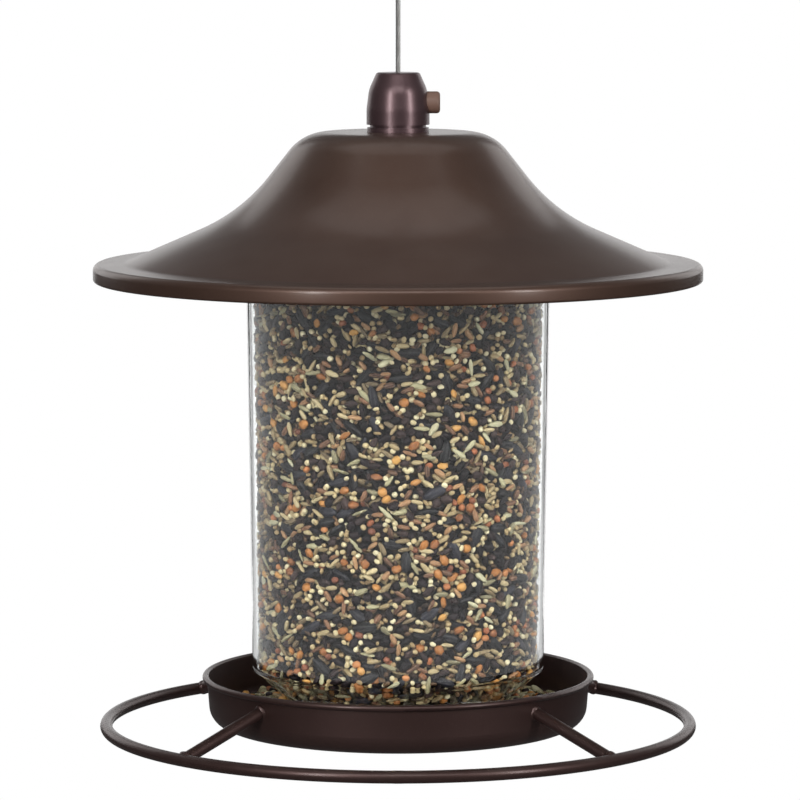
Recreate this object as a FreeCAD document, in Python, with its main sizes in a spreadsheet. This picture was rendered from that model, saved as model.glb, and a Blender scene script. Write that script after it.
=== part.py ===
import FreeCAD, Part
import math
import os

import Sketcher

# Hanging bird feeder: bell roof, clear hopper, pressed tray with a ring perch, and a locking cap
# that slides on the steel cable the whole feeder hangs from.
# Frame: +Z is up, the origin is the centre of the hanging eye, the eye's bore runs along Y and
# the lock button faces +X.  Millimetres.

DRIVING_SIZES = {
    # where things hang, measured down from the hanging eye
    "eye_to_rim": 198.0,
    "rim_to_tray_base": 184.0,
    # roof, a spun steel bell, heights taken from its rim
    "roof_radius": 125.0,
    "roof_height": 60.9,
    "roof_sheet": 0.9,
    "roof_crown_radius": 38.6,
    "roof_waist_height": 28.0,
    "roof_waist_gap": 1.8,
    "roof_gutter_width": 13.0,
    "roof_gutter_height": 7.3,
    "roof_band_height": 7.2,
    "roof_shoulder_fillet": 20.0,
    "roof_waist_fillet": 74.0,
    "roof_gutter_fillet": 8.0,
    "roof_rim_fillet": 2.6,
    # bush that the roof turns on and its spring clip
    "bush_flange_radius": 12.6,
    "bush_flange_height": 1.8,
    "bush_spigot_radius": 6.0,
    "bush_spigot_length": 3.2,
    "bush_running_gap": 0.08,
    "clip_radius": 9.0,
    "clip_sheet": 0.8,
    "clip_gap": 0.3,
    # locking cap and its button
    "cap_radius": 12.9,
    "cap_height": 22.4,
    "cap_straight_height": 7.5,
    "cap_neck_radius": 11.9,
    "cap_neck_height": 15.5,
    "cap_crown_radius": 8.8,
    "cap_foot_height": 1.2,
    "cap_foot_inset": 1.4,
    "cap_body_fillet": 14.0,
    "cap_edge_fillet": 1.3,
    "cable_passage_gap": 0.6,
    "button_radius": 4.5,
    "button_running_gap": 0.08,
    "button_centre_height": 10.2,
    "button_proud": 4.3,
    "button_tail": 2.5,
    "button_travel": 2.5,
    "button_slot_gap": 0.3,
    "button_pinch_gap": 0.1,
    "button_end_fillet": 1.4,
    "spring_length": 6.0,
    "spring_radius": 3.0,
    "spring_wire": 0.6,
    "spring_turns": 4.0,
    "spring_end_gap": 0.1,
    # cable, its crimp sleeve and the grooved eyelet in its loop
    "cable_diameter": 2.0,
    "eye_bore_radius": 6.5,
    "eye_groove_radius": 8.8,
    "eye_flange_radius": 10.2,
    "eye_width": 4.4,
    "crimp_top_drop": 24.0,
    "crimp_length": 12.0,
    "crimp_wall": 1.0,
    "crimp_gap": 0.05,
    "crimp_web": 0.3,
    "crimp_parting": 7.2,
    "crimp_flat": 0.3,
    "cable_tail": 2.0,
    # centre rod and what is threaded on it
    "rod_radius": 3.0,
    "coupling_flats": 10.0,
    "coupling_length": 25.0,
    "coupling_engagement": 12.0,
    "nut_flats": 10.0,
    "nut_height": 3.2,
    "washer_radius": 7.0,
    "washer_height": 1.0,
    "rod_end": 1.2,
    "thread_gap": 0.05,
    # clear reservoir with its hopper mouth and spider hub
    "reservoir_rise": 14.0,
    "reservoir_top_radius": 62.6,
    "reservoir_base_radius": 60.2,
    "reservoir_wall": 1.6,
    "reservoir_knee_lift": 0.53333,
    "hopper_top_height": 23.4,
    "hopper_mouth_radius": 45.6,
    "hopper_mouth_height": 9.5,
    "reservoir_crease_fillet": 1.5,
    "hub_radius": 8.0,
    "hub_rib_height": 6.0,
    "hub_drop": 0.75,
    "hub_rib_width": 2.4,
    # tray, pressed from sheet with a rolled hem
    "tray_radius": 79.2,
    "tray_floor_radius": 77.6,
    "tray_depth": 20.4,
    "tray_sheet": 0.8,
    "tray_corner_fillet": 8.0,
    "tray_hem_radius": 1.3,
    "tray_hem_overhang": 0.43333,
    "tray_corner_seed_share": 0.3,
    "drain_hole_radius": 1.6,
    "drain_circle_radius": 60.0,
    # seed spreader cone on the tray floor
    "spreader_radius": 36.0,
    "spreader_edge": 1.0,
    # ring perch and its four spokes
    "perch_radius": 120.7,
    "perch_rod_radius": 2.55,
    "spoke_wall_drop": 6.4,
    "spoke_radius": 2.5,
    # seed
    "seed_gap": 0.5,
    "seed_fill_height": 186.0,
    "tray_seed_inner_height": 9.0,
    "tray_seed_outer_height": 3.5,
    "tray_seed_hopper_gap": 2.0,
}

SPOKE_ANGLES = {"front_right": -45.0, "back_right": 45.0, "back_left": 135.0, "front_left": 225.0}
DRAIN_HOLES = 8
HUB_RIBS = 4
HEXAGON = 6
OCTAGON = 8      # straight runs of the cable round a full turn of its eyelet
FULL_TURN = 360.0
OVERRUN = 1.0    # how far a cutting tool runs past the face it opens
ROOT_THREE = 1.7320508    # a hexagon's width over flats for each unit of its corner radius
MATCH = 0.01     # how near an edge or face must lie to the place it is looked for
BEND_SHARE = 0.45    # share of the shorter run that a bend of the cable takes up
VOLUME_MATCH = 0.02    # share by which the cable's volume may differ from a straight one's

doc = FreeCAD.newDocument("bird_feeder")
sheet = doc.addObject("Spreadsheet::Sheet", "sizes")
for row, (alias, size) in enumerate(DRIVING_SIZES.items(), start=1):
    sheet.set(f"A{row}", alias)
    sheet.set(f"B{row}", str(size))
    sheet.setAlias(f"B{row}", alias)
doc.recompute()


def expr(text):
    """Write every size name in a formula as a reference to its cell."""
    words = []
    word = ""
    for letter in text + " ":
        if letter.isalnum() or letter == "_":
            word += letter
            continue
        words.append(f"sizes.{word}" if word in DRIVING_SIZES else word)
        words.append(letter)
        word = ""
    return "".join(words).strip()


def value(text):
    """The number that a formula of sizes comes to now."""
    return float(doc.Objects[-1].evalExpression(expr(text)))


# ---- levels, as formulas of the driving sizes ------------------------------------------------

RIM = "(0 - eye_to_rim)"
TRAY_BASE = f"({RIM} - rim_to_tray_base)"
TRAY_FLOOR = f"({TRAY_BASE} + tray_sheet)"
TRAY_RIM = f"({TRAY_BASE} + tray_depth)"
ROOF_TOP = f"({RIM} + roof_height)"
CAP_BASE = f"({ROOF_TOP} + bush_flange_height)"
CAP_TOP = f"({CAP_BASE} + cap_height)"
BUTTON_AXIS = f"({CAP_BASE} + button_centre_height)"
COUPLING_TOP = f"({ROOF_TOP} - bush_spigot_length)"
COUPLING_BASE = f"({COUPLING_TOP} - coupling_length)"
ROD_TOP = f"({COUPLING_BASE} + coupling_engagement)"
NUT_BASE = f"({TRAY_BASE} - washer_height - nut_height)"
MOUTH = f"({TRAY_BASE} + hopper_mouth_height)"
HOPPER_TOP = f"({TRAY_BASE} + hopper_top_height)"
HUB_BASE = f"({MOUTH} - hub_drop)"
HUB_TOP = f"({HUB_BASE} + hub_rib_height)"
HUB_NUT_BASE = f"({HUB_TOP} + washer_height)"
HUB_NUT_TOP = f"({HUB_NUT_BASE} + nut_height)"
RESERVOIR_TOP = f"({RIM} + reservoir_rise)"
WAIST_RADIUS = "(reservoir_top_radius + roof_waist_gap)"
CABLE_RADIUS = "(cable_diameter / 2)"
PASSAGE_RADIUS = f"({CABLE_RADIUS} + cable_passage_gap)"
CRIMP_TOP = "(0 - crimp_top_drop)"
CRIMP_BASE = "(0 - crimp_top_drop - crimp_length)"
LEG_SPACING = "(cable_diameter + crimp_gap * 2 + crimp_web)"

parts = []


# ---- helpers ---------------------------------------------------------------------------------

def new_body(name):
    body = doc.addObject("PartDesign::Body", name)
    body.Label = name
    parts.append(body)
    return body


def keep(feature, name):
    """Enter a finished Part object as a sub-part."""
    feature.Label = name
    parts.append(feature)
    return feature


def origin_plane(body, role):
    return next(item for item in body.Origin.OriginFeatures if item.Role == role)


def new_sketch(body, name, role, level=None):
    sketch = body.newObject("Sketcher::SketchObject", name)
    sketch.AttachmentSupport = [(origin_plane(body, role), "")]
    sketch.MapMode = "FlatFace"
    if level:
        sketch.setExpression("AttachmentOffset.Base.z", expr(level))
    return sketch


def pin_point(sketch, geometry, end, across, up):
    """Place one end of a sketch line by two formulas."""
    for kind, formula in (("DistanceX", across), ("DistanceY", up)):
        index = sketch.addConstraint(
            Sketcher.Constraint(kind, -1, 1, geometry, end, value(formula)))
        sketch.setExpression(f"Constraints[{index}]", expr(formula))


def draw_outline(sketch, corners):
    """Closed outline of straight lines through corners given as formulas."""
    points = [FreeCAD.Vector(value(across), value(up), 0) for across, up in corners]
    first = len(sketch.Geometry)
    count = len(points)
    for place, start in enumerate(points):
        sketch.addGeometry(Part.LineSegment(start, points[(place + 1) % count]))
    for place in range(count):
        following = first + (place + 1) % count
        sketch.addConstraint(Sketcher.Constraint("Coincident", first + place, 2, following, 1))
    for place, (across, up) in enumerate(corners):
        pin_point(sketch, first + place, 1, across, up)


def draw_circle(sketch, across, up, radius):
    circle = Part.Circle(FreeCAD.Vector(value(across), value(up), 0), FreeCAD.Vector(0, 0, 1),
                         value(radius))
    index = sketch.addGeometry(circle)
    pin_point(sketch, index, 3, across, up)
    size = sketch.addConstraint(Sketcher.Constraint("Radius", index, value(radius)))
    sketch.setExpression(f"Constraints[{size}]", expr(radius))


def revolve(body, name, sketch, feature="PartDesign::Revolution"):
    turned = body.newObject(feature, name)
    turned.Profile = sketch
    turned.ReferenceAxis = (sketch, ["V_Axis"])
    turned.Angle = FULL_TURN
    doc.recompute()
    return turned


def turned_body(name, corners):
    """A body turned from one closed outline of radius and height formulas."""
    body = new_body(name)
    sketch = new_sketch(body, f"{name}_outline", "XZ_Plane")
    draw_outline(sketch, corners)
    revolve(body, f"{name}_turned", sketch)
    return body


def circle_edges(shape, radius, level):
    """Names of the full-circle edges of a turned shape at one radius and level."""
    names = []
    for number, edge in enumerate(shape.Edges, start=1):
        curve = edge.Curve
        if not isinstance(curve, Part.Circle):
            continue
        if abs(curve.Radius - radius) < MATCH and abs(curve.Center.z - level) < MATCH:
            names.append(f"Edge{number}")
    return names


def fillet_edges(body, name, radius, edges):
    base = body.Tip
    fillet = body.newObject("PartDesign::Fillet", name)
    fillet.Base = (base, edges)
    fillet.setExpression("Radius", expr(radius))
    doc.recompute()


def round_edges(body, name, radius, places):
    """Fillet the circular edges found at the given radius and level formulas."""
    edges = []
    for across, up in places:
        edges += circle_edges(body.Shape, value(across), value(up))
    if len(edges) < len(places):
        raise RuntimeError(f"{name}: found {len(edges)} edges of {len(places)}")
    fillet_edges(body, name, radius, edges)


def shell_from(body, name, thickness, level):
    """Hollow a turned solid to sheet, open at the flat face on one level."""
    base = body.Tip
    open_faces = []
    for number, face in enumerate(base.Shape.Faces, start=1):
        flat = isinstance(face.Surface, Part.Plane)
        if flat and abs(face.CenterOfMass.z - value(level)) < MATCH:
            open_faces.append(f"Face{number}")
    shell = body.newObject("PartDesign::Thickness", name)
    shell.Base = (base, open_faces)
    shell.Reversed = True
    shell.Mode = 0
    shell.Join = 0
    shell.setExpression("Value", expr(thickness))
    doc.recompute()
    return shell


def pad(body, name, sketch, length, reversed_way=False):
    padded = body.newObject("PartDesign::Pad", name)
    padded.Profile = sketch
    padded.setExpression("Length", expr(length))
    padded.Reversed = reversed_way
    doc.recompute()
    return padded


def cut_through(body, name, sketch):
    """Pocket both ways through everything, and make sure that it removed something."""
    before = body.Shape.Volume
    pocket = body.newObject("PartDesign::Pocket", name)
    pocket.Profile = sketch
    pocket.Type = "ThroughAll"
    pocket.SideType = "Symmetric"
    doc.recompute()
    if body.Shape.Volume > before - 1.0:
        raise RuntimeError(f"{name} removed nothing")
    return pocket


def cut_depth(body, name, sketch, depth, reversed_way):
    before = body.Shape.Volume
    pocket = body.newObject("PartDesign::Pocket", name)
    pocket.Profile = sketch
    pocket.setExpression("Length", expr(depth))
    pocket.Reversed = reversed_way
    doc.recompute()
    if body.Shape.Volume > before - 1.0:
        raise RuntimeError(f"{name} removed nothing")
    return pocket


def cylinder(name, radius, length, level):
    solid = doc.addObject("Part::Cylinder", name)
    solid.setExpression("Radius", expr(radius))
    solid.setExpression("Height", expr(length))
    solid.setExpression("Placement.Base.z", expr(level))
    return solid


def hexagon(name, flats, length, level):
    prism = doc.addObject("Part::Prism", name)
    prism.Polygon = HEXAGON
    prism.setExpression("Circumradius", expr(f"{flats} / {ROOT_THREE}"))
    prism.setExpression("Height", expr(length))
    prism.setExpression("Placement.Base.z", expr(level))
    return prism


def cut(name, base, tool):
    result = doc.addObject("Part::Cut", name)
    result.Base = base
    result.Tool = tool
    return result


# ---- roof ------------------------------------------------------------------------------------

def make_roof():
    """Bell roof: flat crown, steep shoulder, flared waist, gutter line and turned-down band."""
    gutter_radius = "roof_radius - roof_gutter_width"
    gutter = f"{RIM} + roof_gutter_height"
    waist = f"{RIM} + roof_waist_height"
    band_top = f"{RIM} + roof_band_height"
    roof = turned_body("roof", [
        ("0", RIM),
        ("roof_radius", RIM),
        ("roof_radius", band_top),
        (gutter_radius, gutter),
        (WAIST_RADIUS, waist),
        ("roof_crown_radius", ROOF_TOP),
        ("0", ROOF_TOP),
    ])
    round_edges(roof, "roof_shoulder", "roof_shoulder_fillet", [("roof_crown_radius", ROOF_TOP)])
    round_edges(roof, "roof_flare", "roof_waist_fillet", [(WAIST_RADIUS, waist)])
    round_edges(roof, "roof_gutter", "roof_gutter_fillet", [(gutter_radius, gutter)])
    round_edges(roof, "roof_rim_edge", "roof_rim_fillet", [("roof_radius", band_top)])
    shell_from(roof, "roof_shell", "roof_sheet", RIM)
    hole = new_sketch(roof, "roof_hole_outline", "XY_Plane", RIM)
    draw_circle(hole, "0", "0", "bush_spigot_radius + bush_running_gap")
    cut_through(roof, "roof_hole", hole)


def make_roof_bush():
    """Turned collar under the cap, with a spigot down through the roof's hole."""
    turned_body("roof_bush", [
        (PASSAGE_RADIUS, COUPLING_TOP),
        ("bush_spigot_radius", COUPLING_TOP),
        ("bush_spigot_radius", ROOF_TOP),
        ("bush_flange_radius", ROOF_TOP),
        ("bush_flange_radius", CAP_BASE),
        (PASSAGE_RADIUS, CAP_BASE),
    ])
    clip_top = f"{ROOF_TOP} - roof_sheet - clip_gap"
    turned_body("roof_retaining_clip", [
        ("bush_spigot_radius", f"{clip_top} - clip_sheet"),
        ("clip_radius", f"{clip_top} - clip_sheet"),
        ("clip_radius", clip_top),
        ("bush_spigot_radius", clip_top),
    ])


# ---- locking cap -----------------------------------------------------------------------------

def make_cap():
    """Cast cap that slides on the cable, cross-bored for the button and its spring."""
    foot_top = f"{CAP_BASE} + cap_foot_height"
    straight_top = f"{CAP_BASE} + cap_straight_height"
    neck = f"{CAP_BASE} + cap_neck_height"
    cap = turned_body("cap_body", [
        (PASSAGE_RADIUS, CAP_BASE),
        ("cap_radius - cap_foot_inset", CAP_BASE),
        ("cap_radius - cap_foot_inset", foot_top),
        ("cap_radius", foot_top),
        ("cap_radius", straight_top),
        ("cap_neck_radius", neck),
        ("cap_crown_radius", CAP_TOP),
        (PASSAGE_RADIUS, CAP_TOP),
    ])
    round_edges(cap, "cap_swell", "cap_body_fillet",
                [("cap_radius", straight_top), ("cap_neck_radius", neck)])
    round_edges(cap, "cap_edge", "cap_edge_fillet", [("cap_crown_radius", CAP_TOP)])
    bore = new_sketch(cap, "button_bore_outline", "YZ_Plane", "0 - button_tail - spring_length")
    draw_circle(bore, "0", BUTTON_AXIS, "button_radius + button_running_gap")
    cut_depth(cap, "button_bore", bore,
              "button_tail + spring_length + cap_radius + button_proud", True)


def make_button():
    """Push button whose stem carries a slot for the cable, so it pinches until pressed."""
    button = new_body("lock_button")
    face = new_sketch(button, "button_outline", "YZ_Plane", "0 - button_tail")
    draw_circle(face, "0", BUTTON_AXIS, "button_radius")
    pad(button, "button_stem", face, "button_tail + cap_radius + button_proud")
    tip = value("cap_radius + button_proud")
    rim_edges = [f"Edge{number}" for number, edge in enumerate(button.Shape.Edges, start=1)
                 if edge.BoundBox.XMin > tip - MATCH]
    fillet_edges(button, "button_end", "button_end_fillet", rim_edges)
    slot = new_sketch(button, "cable_slot_outline", "XY_Plane", BUTTON_AXIS)
    near = f"0 - {CABLE_RADIUS} - button_pinch_gap"
    far = f"{CABLE_RADIUS} + button_travel + button_slot_gap"
    half = f"({CABLE_RADIUS} + button_slot_gap)"
    draw_outline(slot, [(near, f"0 - {half}"), (far, f"0 - {half}"), (far, half), (near, half)])
    cut_through(button, "cable_slot", slot)


def make_button_spring():
    """Compression spring between the button's stem and the blind end of the bore."""
    spring = new_body("button_spring")
    section = new_sketch(spring, "spring_wire_section", "XZ_Plane")
    draw_circle(section, "spring_radius", "spring_wire / 2 + spring_end_gap", "spring_wire / 2")
    coil = spring.newObject("PartDesign::AdditiveHelix", "spring_coil")
    coil.Profile = section
    coil.ReferenceAxis = (section, ["V_Axis"])
    coil.Mode = "height-turns-angle"
    coil.setExpression("Height", expr("spring_length - spring_wire - spring_end_gap * 2"))
    coil.setExpression("Turns", expr("spring_turns"))
    doc.recompute()
    spring.Placement.Rotation = FreeCAD.Rotation(FreeCAD.Vector(0, 1, 0), 90)
    spring.setExpression("Placement.Base.x", expr("0 - button_tail - spring_length"))
    spring.setExpression("Placement.Base.z", expr(BUTTON_AXIS))


# ---- cable, crimp and eyelet -----------------------------------------------------------------

def arc_between(start, corner, end, radius):
    """Tangent arc that rounds one corner of a route: its two touch points and middle point."""
    back = (start - corner).normalize()
    ahead = (end - corner).normalize()
    half_turn = (math.pi - back.getAngle(ahead)) / 2
    reach = radius * math.tan(half_turn)
    centre_way = (back + ahead).normalize()
    centre = corner + centre_way * (radius / math.cos(half_turn))
    middle = centre - centre_way * radius
    return corner + back * reach, middle, corner + ahead * reach


def cable_route():
    """Corners of the cable's route: straight up, once round the eyelet, and back down."""
    wrap = value(f"eye_groove_radius + {CABLE_RADIUS}")
    side = wrap * math.tan(math.radians(FULL_TURN / OCTAGON / 2))
    parting = value(f"{CRIMP_TOP} + crimp_parting")
    tail = value(LEG_SPACING)
    return [
        FreeCAD.Vector(0, 0, value(COUPLING_TOP)),
        FreeCAD.Vector(0, 0, parting),
        FreeCAD.Vector(-wrap, 0, -side),
        FreeCAD.Vector(-wrap, 0, side),
        FreeCAD.Vector(-side, 0, wrap),
        FreeCAD.Vector(side, 0, wrap),
        FreeCAD.Vector(wrap, 0, side),
        FreeCAD.Vector(wrap, 0, -side),
        FreeCAD.Vector(tail, 0, parting),
        FreeCAD.Vector(tail, 0, value(f"{CRIMP_BASE} - cable_tail")),
    ]


def make_cable():
    """Steel cable as one plain tube along its route of straight runs and tangent arcs."""
    corners = cable_route()
    radius = value(CABLE_RADIUS)
    edges = []
    last = corners[0]
    for before, corner, after in zip(corners, corners[1:], corners[2:]):
        turn = math.pi - (before - corner).getAngle(after - corner)
        shorter = min((corner - before).Length, (after - corner).Length)
        bend = BEND_SHARE * shorter / math.tan(turn / 2)
        touch, middle, leave = arc_between(before, corner, after, bend)
        print(f"cable bend radius {bend:.1f} mm, turn {math.degrees(turn):.0f} degrees")
        edges.append(Part.LineSegment(last, touch).toShape())
        edges.append(Part.Arc(touch, middle, leave).toShape())
        last = leave
    edges.append(Part.LineSegment(last, corners[-1]).toShape())
    path = Part.Wire(edges)
    length = path.Length
    section = Part.Wire([Part.Circle(corners[0], FreeCAD.Vector(0, 0, 1), radius).toShape()])
    tube = path.makePipeShell([section], True, True)
    expected = math.pi * radius ** 2 * length
    if abs(tube.Volume - expected) > VOLUME_MATCH * expected:
        raise RuntimeError(f"cable volume {tube.Volume:.1f}, expected {expected:.1f}")
    print(f"cable length {length:.1f} mm")
    cable = doc.addObject("Part::Feature", "cable")
    cable.Shape = tube
    cable.Placement = FreeCAD.Placement()
    keep(cable, "cable")


def make_eyelet():
    """Grooved eyelet inside the cable's loop; its bore takes the hook, along Y."""
    eyelet = turned_body("hanging_eyelet", [
        ("eye_bore_radius", "0 - eye_width / 2"),
        ("eye_flange_radius", "0 - eye_width / 2"),
        ("eye_groove_radius", f"0 - {CABLE_RADIUS}"),
        ("eye_groove_radius", CABLE_RADIUS),
        ("eye_flange_radius", "eye_width / 2"),
        ("eye_bore_radius", "eye_width / 2"),
    ])
    eyelet.Placement.Rotation = FreeCAD.Rotation(FreeCAD.Vector(1, 0, 0), 90)


def make_crimp():
    """Oval crimp sleeve round both legs of the loop."""
    crimp = new_body("crimp_sleeve")
    face = new_sketch(crimp, "crimp_outline", "XY_Plane", CRIMP_BASE)
    leg = LEG_SPACING
    outer = f"({CABLE_RADIUS} + crimp_gap + crimp_wall)"
    draw_outline(face, [(f"0 - {outer}", f"0 - {outer}"), (f"{leg} + {outer}", f"0 - {outer}"),
                        (f"{leg} + {outer}", outer), (f"0 - {outer}", outer)])
    pad(crimp, "crimp_block", face, "crimp_length")
    upright = [f"Edge{number}" for number, edge in enumerate(crimp.Shape.Edges, start=1)
               if edge.BoundBox.ZLength > value("crimp_length") - MATCH]
    fillet_edges(crimp, "crimp_round", f"{outer} - crimp_flat", upright)
    for number, across in enumerate(("0", leg), start=1):
        hole = new_sketch(crimp, f"crimp_hole_outline_{number}", "XY_Plane", CRIMP_BASE)
        draw_circle(hole, across, "0", f"{CABLE_RADIUS} + crimp_gap")
        cut_through(crimp, f"crimp_hole_{number}", hole)


# ---- rod and fasteners -----------------------------------------------------------------------

def make_rod():
    """Centre rod from under the tray up into the dome, with the cable coupling on top."""
    turned_body("centre_rod", [
        ("0", f"{NUT_BASE} - rod_end"),
        ("rod_radius", f"{NUT_BASE} - rod_end"),
        ("rod_radius", ROD_TOP),
        ("0", ROD_TOP),
    ])
    blank = hexagon("coupling_blank", "coupling_flats", "coupling_length", COUPLING_BASE)
    socket = cylinder("coupling_socket", "rod_radius + thread_gap",
                      f"coupling_engagement + {MATCH}", COUPLING_BASE)
    keep(cut("cable_coupling", blank, socket), "cable_coupling")


def make_nut(name, base_level):
    blank = hexagon(f"{name}_blank", "nut_flats", "nut_height", base_level)
    bore = cylinder(f"{name}_bore", "rod_radius + thread_gap", f"nut_height + {2 * OVERRUN}",
                    f"{base_level} - {OVERRUN}")
    keep(cut(name, blank, bore), name)


def make_washer(name, base_level):
    turned_body(name, [
        ("rod_radius + thread_gap", base_level),
        ("washer_radius", base_level),
        ("washer_radius", f"{base_level} + washer_height"),
        ("rod_radius + thread_gap", f"{base_level} + washer_height"),
    ])


# ---- reservoir -------------------------------------------------------------------------------

def make_reservoir():
    """Clear drafted tube with a sloped hopper, open below, and a ribbed hub for the rod."""
    inner_top = "reservoir_top_radius - reservoir_wall"
    inner_base = "reservoir_base_radius - reservoir_wall"
    inner_mouth = "hopper_mouth_radius - reservoir_wall"
    lift = "reservoir_knee_lift"
    body = turned_body("reservoir", [
        ("reservoir_top_radius", RESERVOIR_TOP),
        ("reservoir_base_radius", HOPPER_TOP),
        ("hopper_mouth_radius", f"{MOUTH} + reservoir_wall"),
        ("hopper_mouth_radius", MOUTH),
        (inner_mouth, MOUTH),
        (inner_mouth, f"{MOUTH} + reservoir_wall + {lift}"),
        (inner_base, f"{HOPPER_TOP} + {lift}"),
        (inner_top, RESERVOIR_TOP),
    ])
    round_edges(body, "reservoir_crease", "reservoir_crease_fillet",
                [("reservoir_base_radius", HOPPER_TOP)])
    hub = new_sketch(body, "hub_outline", "XY_Plane", HUB_BASE)
    draw_circle(hub, "0", "0", "hub_radius")
    rib = new_sketch(body, "rib_outline", "XY_Plane", HUB_BASE)
    reach = "hopper_mouth_radius - reservoir_wall / 2"
    half = "hub_rib_width / 2"
    draw_outline(rib, [("hub_radius / 2", f"0 - {half}"), (reach, f"0 - {half}"),
                       (reach, half), ("hub_radius / 2", half)])
    pad(body, "hub", hub, "hub_rib_height")
    first_rib = pad(body, "hub_rib", rib, "hub_rib_height")
    ribs = body.newObject("PartDesign::PolarPattern", "hub_ribs")
    ribs.Originals = [first_rib]
    ribs.Axis = (rib, ["N_Axis"])
    ribs.Angle = FULL_TURN
    ribs.Occurrences = HUB_RIBS
    body.Tip = ribs
    doc.recompute()
    hole = new_sketch(body, "hub_hole_outline", "XY_Plane", HUB_BASE)
    draw_circle(hole, "0", "0", "rod_radius + thread_gap")
    cut_through(body, "hub_hole", hole)


# ---- tray, spreader and perch ----------------------------------------------------------------

def make_tray():
    """Pressed pan with a rolled hem, drained through a ring of small holes."""
    tray = turned_body("tray_pan", [
        ("0", TRAY_BASE),
        ("tray_floor_radius", TRAY_BASE),
        ("tray_radius", TRAY_RIM),
        ("0", TRAY_RIM),
    ])
    round_edges(tray, "tray_corner", "tray_corner_fillet", [("tray_floor_radius", TRAY_BASE)])
    shell_from(tray, "tray_shell", "tray_sheet", TRAY_RIM)
    hem = new_sketch(tray, "hem_outline", "XZ_Plane")
    draw_circle(hem, "tray_radius + tray_hem_overhang", f"{TRAY_RIM} - tray_hem_radius / 2",
                "tray_hem_radius")
    revolve(tray, "rolled_hem", hem)
    hole = new_sketch(tray, "rod_hole_outline", "XY_Plane", TRAY_BASE)
    draw_circle(hole, "0", "0", "rod_radius + thread_gap")
    cut_through(tray, "rod_hole", hole)
    drain = new_sketch(tray, "drain_outline", "XY_Plane", TRAY_BASE)
    draw_circle(drain, "drain_circle_radius", "0", "drain_hole_radius")
    first_drain = cut_through(tray, "drain_hole", drain)
    drains = tray.newObject("PartDesign::PolarPattern", "drain_holes")
    drains.Originals = [first_drain]
    drains.Axis = (drain, ["N_Axis"])
    drains.Angle = FULL_TURN
    drains.Occurrences = DRAIN_HOLES
    tray.Tip = drains
    doc.recompute()


def make_spreader():
    """Low cone on the tray floor that sends the seed outwards and carries the hub."""
    turned_body("seed_spreader", [
        ("rod_radius + thread_gap", TRAY_FLOOR),
        ("spreader_radius", TRAY_FLOOR),
        ("spreader_radius", f"{TRAY_FLOOR} + spreader_edge"),
        ("hub_radius", HUB_BASE),
        ("rod_radius + thread_gap", HUB_BASE),
    ])


def make_perch():
    """Ring of round bar, carried by four straight spokes from the tray wall."""
    ring = doc.addObject("Part::Torus", "perch_ring")
    ring.setExpression("Radius1", expr("perch_radius"))
    ring.setExpression("Radius2", expr("perch_rod_radius"))
    ring.setExpression("Placement.Base.z", expr(TRAY_BASE))
    keep(ring, "perch_ring")
    wall = doc.addObject("Part::Cone", "tray_wall_tool")
    wall.setExpression("Radius1", expr("tray_floor_radius"))
    wall.setExpression("Radius2", expr("tray_radius"))
    wall.setExpression("Height", expr("tray_depth"))
    wall.setExpression("Placement.Base.z", expr(TRAY_BASE))
    limits = doc.addObject("Part::MultiFuse", "spoke_limits")
    limits.Shapes = [wall, ring]
    doc.recompute()
    rise = value("tray_depth - spoke_wall_drop")
    run = value("perch_radius - tray_floor_radius")
    for side, angle in SPOKE_ANGLES.items():
        bar = doc.addObject("Part::Cylinder", f"spoke_bar_{side}")
        bar.setExpression("Radius", expr("spoke_radius"))
        bar.Height = math.hypot(rise, run)
        around = math.radians(angle)
        outward = FreeCAD.Vector(math.cos(around), math.sin(around), 0)
        outer = outward * value("perch_radius") + FreeCAD.Vector(0, 0, value(TRAY_BASE))
        inner = outward * value("tray_floor_radius")
        inner = inner + FreeCAD.Vector(0, 0, value(TRAY_BASE) + rise)
        turn = FreeCAD.Rotation(FreeCAD.Vector(0, 0, 1), outer - inner)
        bar.Placement = FreeCAD.Placement(inner, turn)
        keep(cut(f"perch_spoke_{side}", bar, limits), f"perch_spoke_{side}")


# ---- seed ------------------------------------------------------------------------------------

def make_seed():
    """Plain solids for the seed in the reservoir and the seed lying in the tray."""
    inner_base = "reservoir_base_radius - reservoir_wall - seed_gap"
    inner_mouth = "hopper_mouth_radius - reservoir_wall"
    low = f"{HUB_TOP} + seed_gap"
    nut_clear = "washer_radius + seed_gap"
    fill_top = f"{TRAY_BASE} + seed_fill_height"
    filled_share = f"({fill_top} - {HOPPER_TOP}) / ({RESERVOIR_TOP} - {HOPPER_TOP})"
    draft = "(reservoir_top_radius - reservoir_base_radius)"
    turned_body("seed_fill", [
        (nut_clear, low),
        (inner_mouth, low),
        (inner_base, f"{HOPPER_TOP} + reservoir_wall"),
        (f"{inner_base} + {draft} * {filled_share}", fill_top),
        ("rod_radius + seed_gap", fill_top),
        ("rod_radius + seed_gap", f"{HUB_NUT_TOP} + seed_gap"),
        (nut_clear, f"{HUB_NUT_TOP} + seed_gap"),
    ])
    floor = f"{TRAY_FLOOR} + seed_gap"
    corner = "tray_corner_fillet * tray_corner_seed_share"
    outer_radius = f"tray_floor_radius - tray_sheet - seed_gap - {corner}"
    slope_radius = "hopper_mouth_radius + tray_seed_hopper_gap + tray_seed_inner_height"
    under_hub = f"{HUB_BASE} - seed_gap"
    turned_body("tray_seed", [
        ("spreader_radius + seed_gap", floor),
        ("tray_floor_radius - tray_corner_fillet", floor),
        (outer_radius, f"{TRAY_FLOOR} + tray_seed_outer_height"),
        (slope_radius, f"{TRAY_FLOOR} + tray_seed_inner_height"),
        ("hopper_mouth_radius + tray_seed_hopper_gap", under_hub),
        ("spreader_radius + seed_gap", under_hub),
    ])


# ---- build -----------------------------------------------------------------------------------

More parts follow.
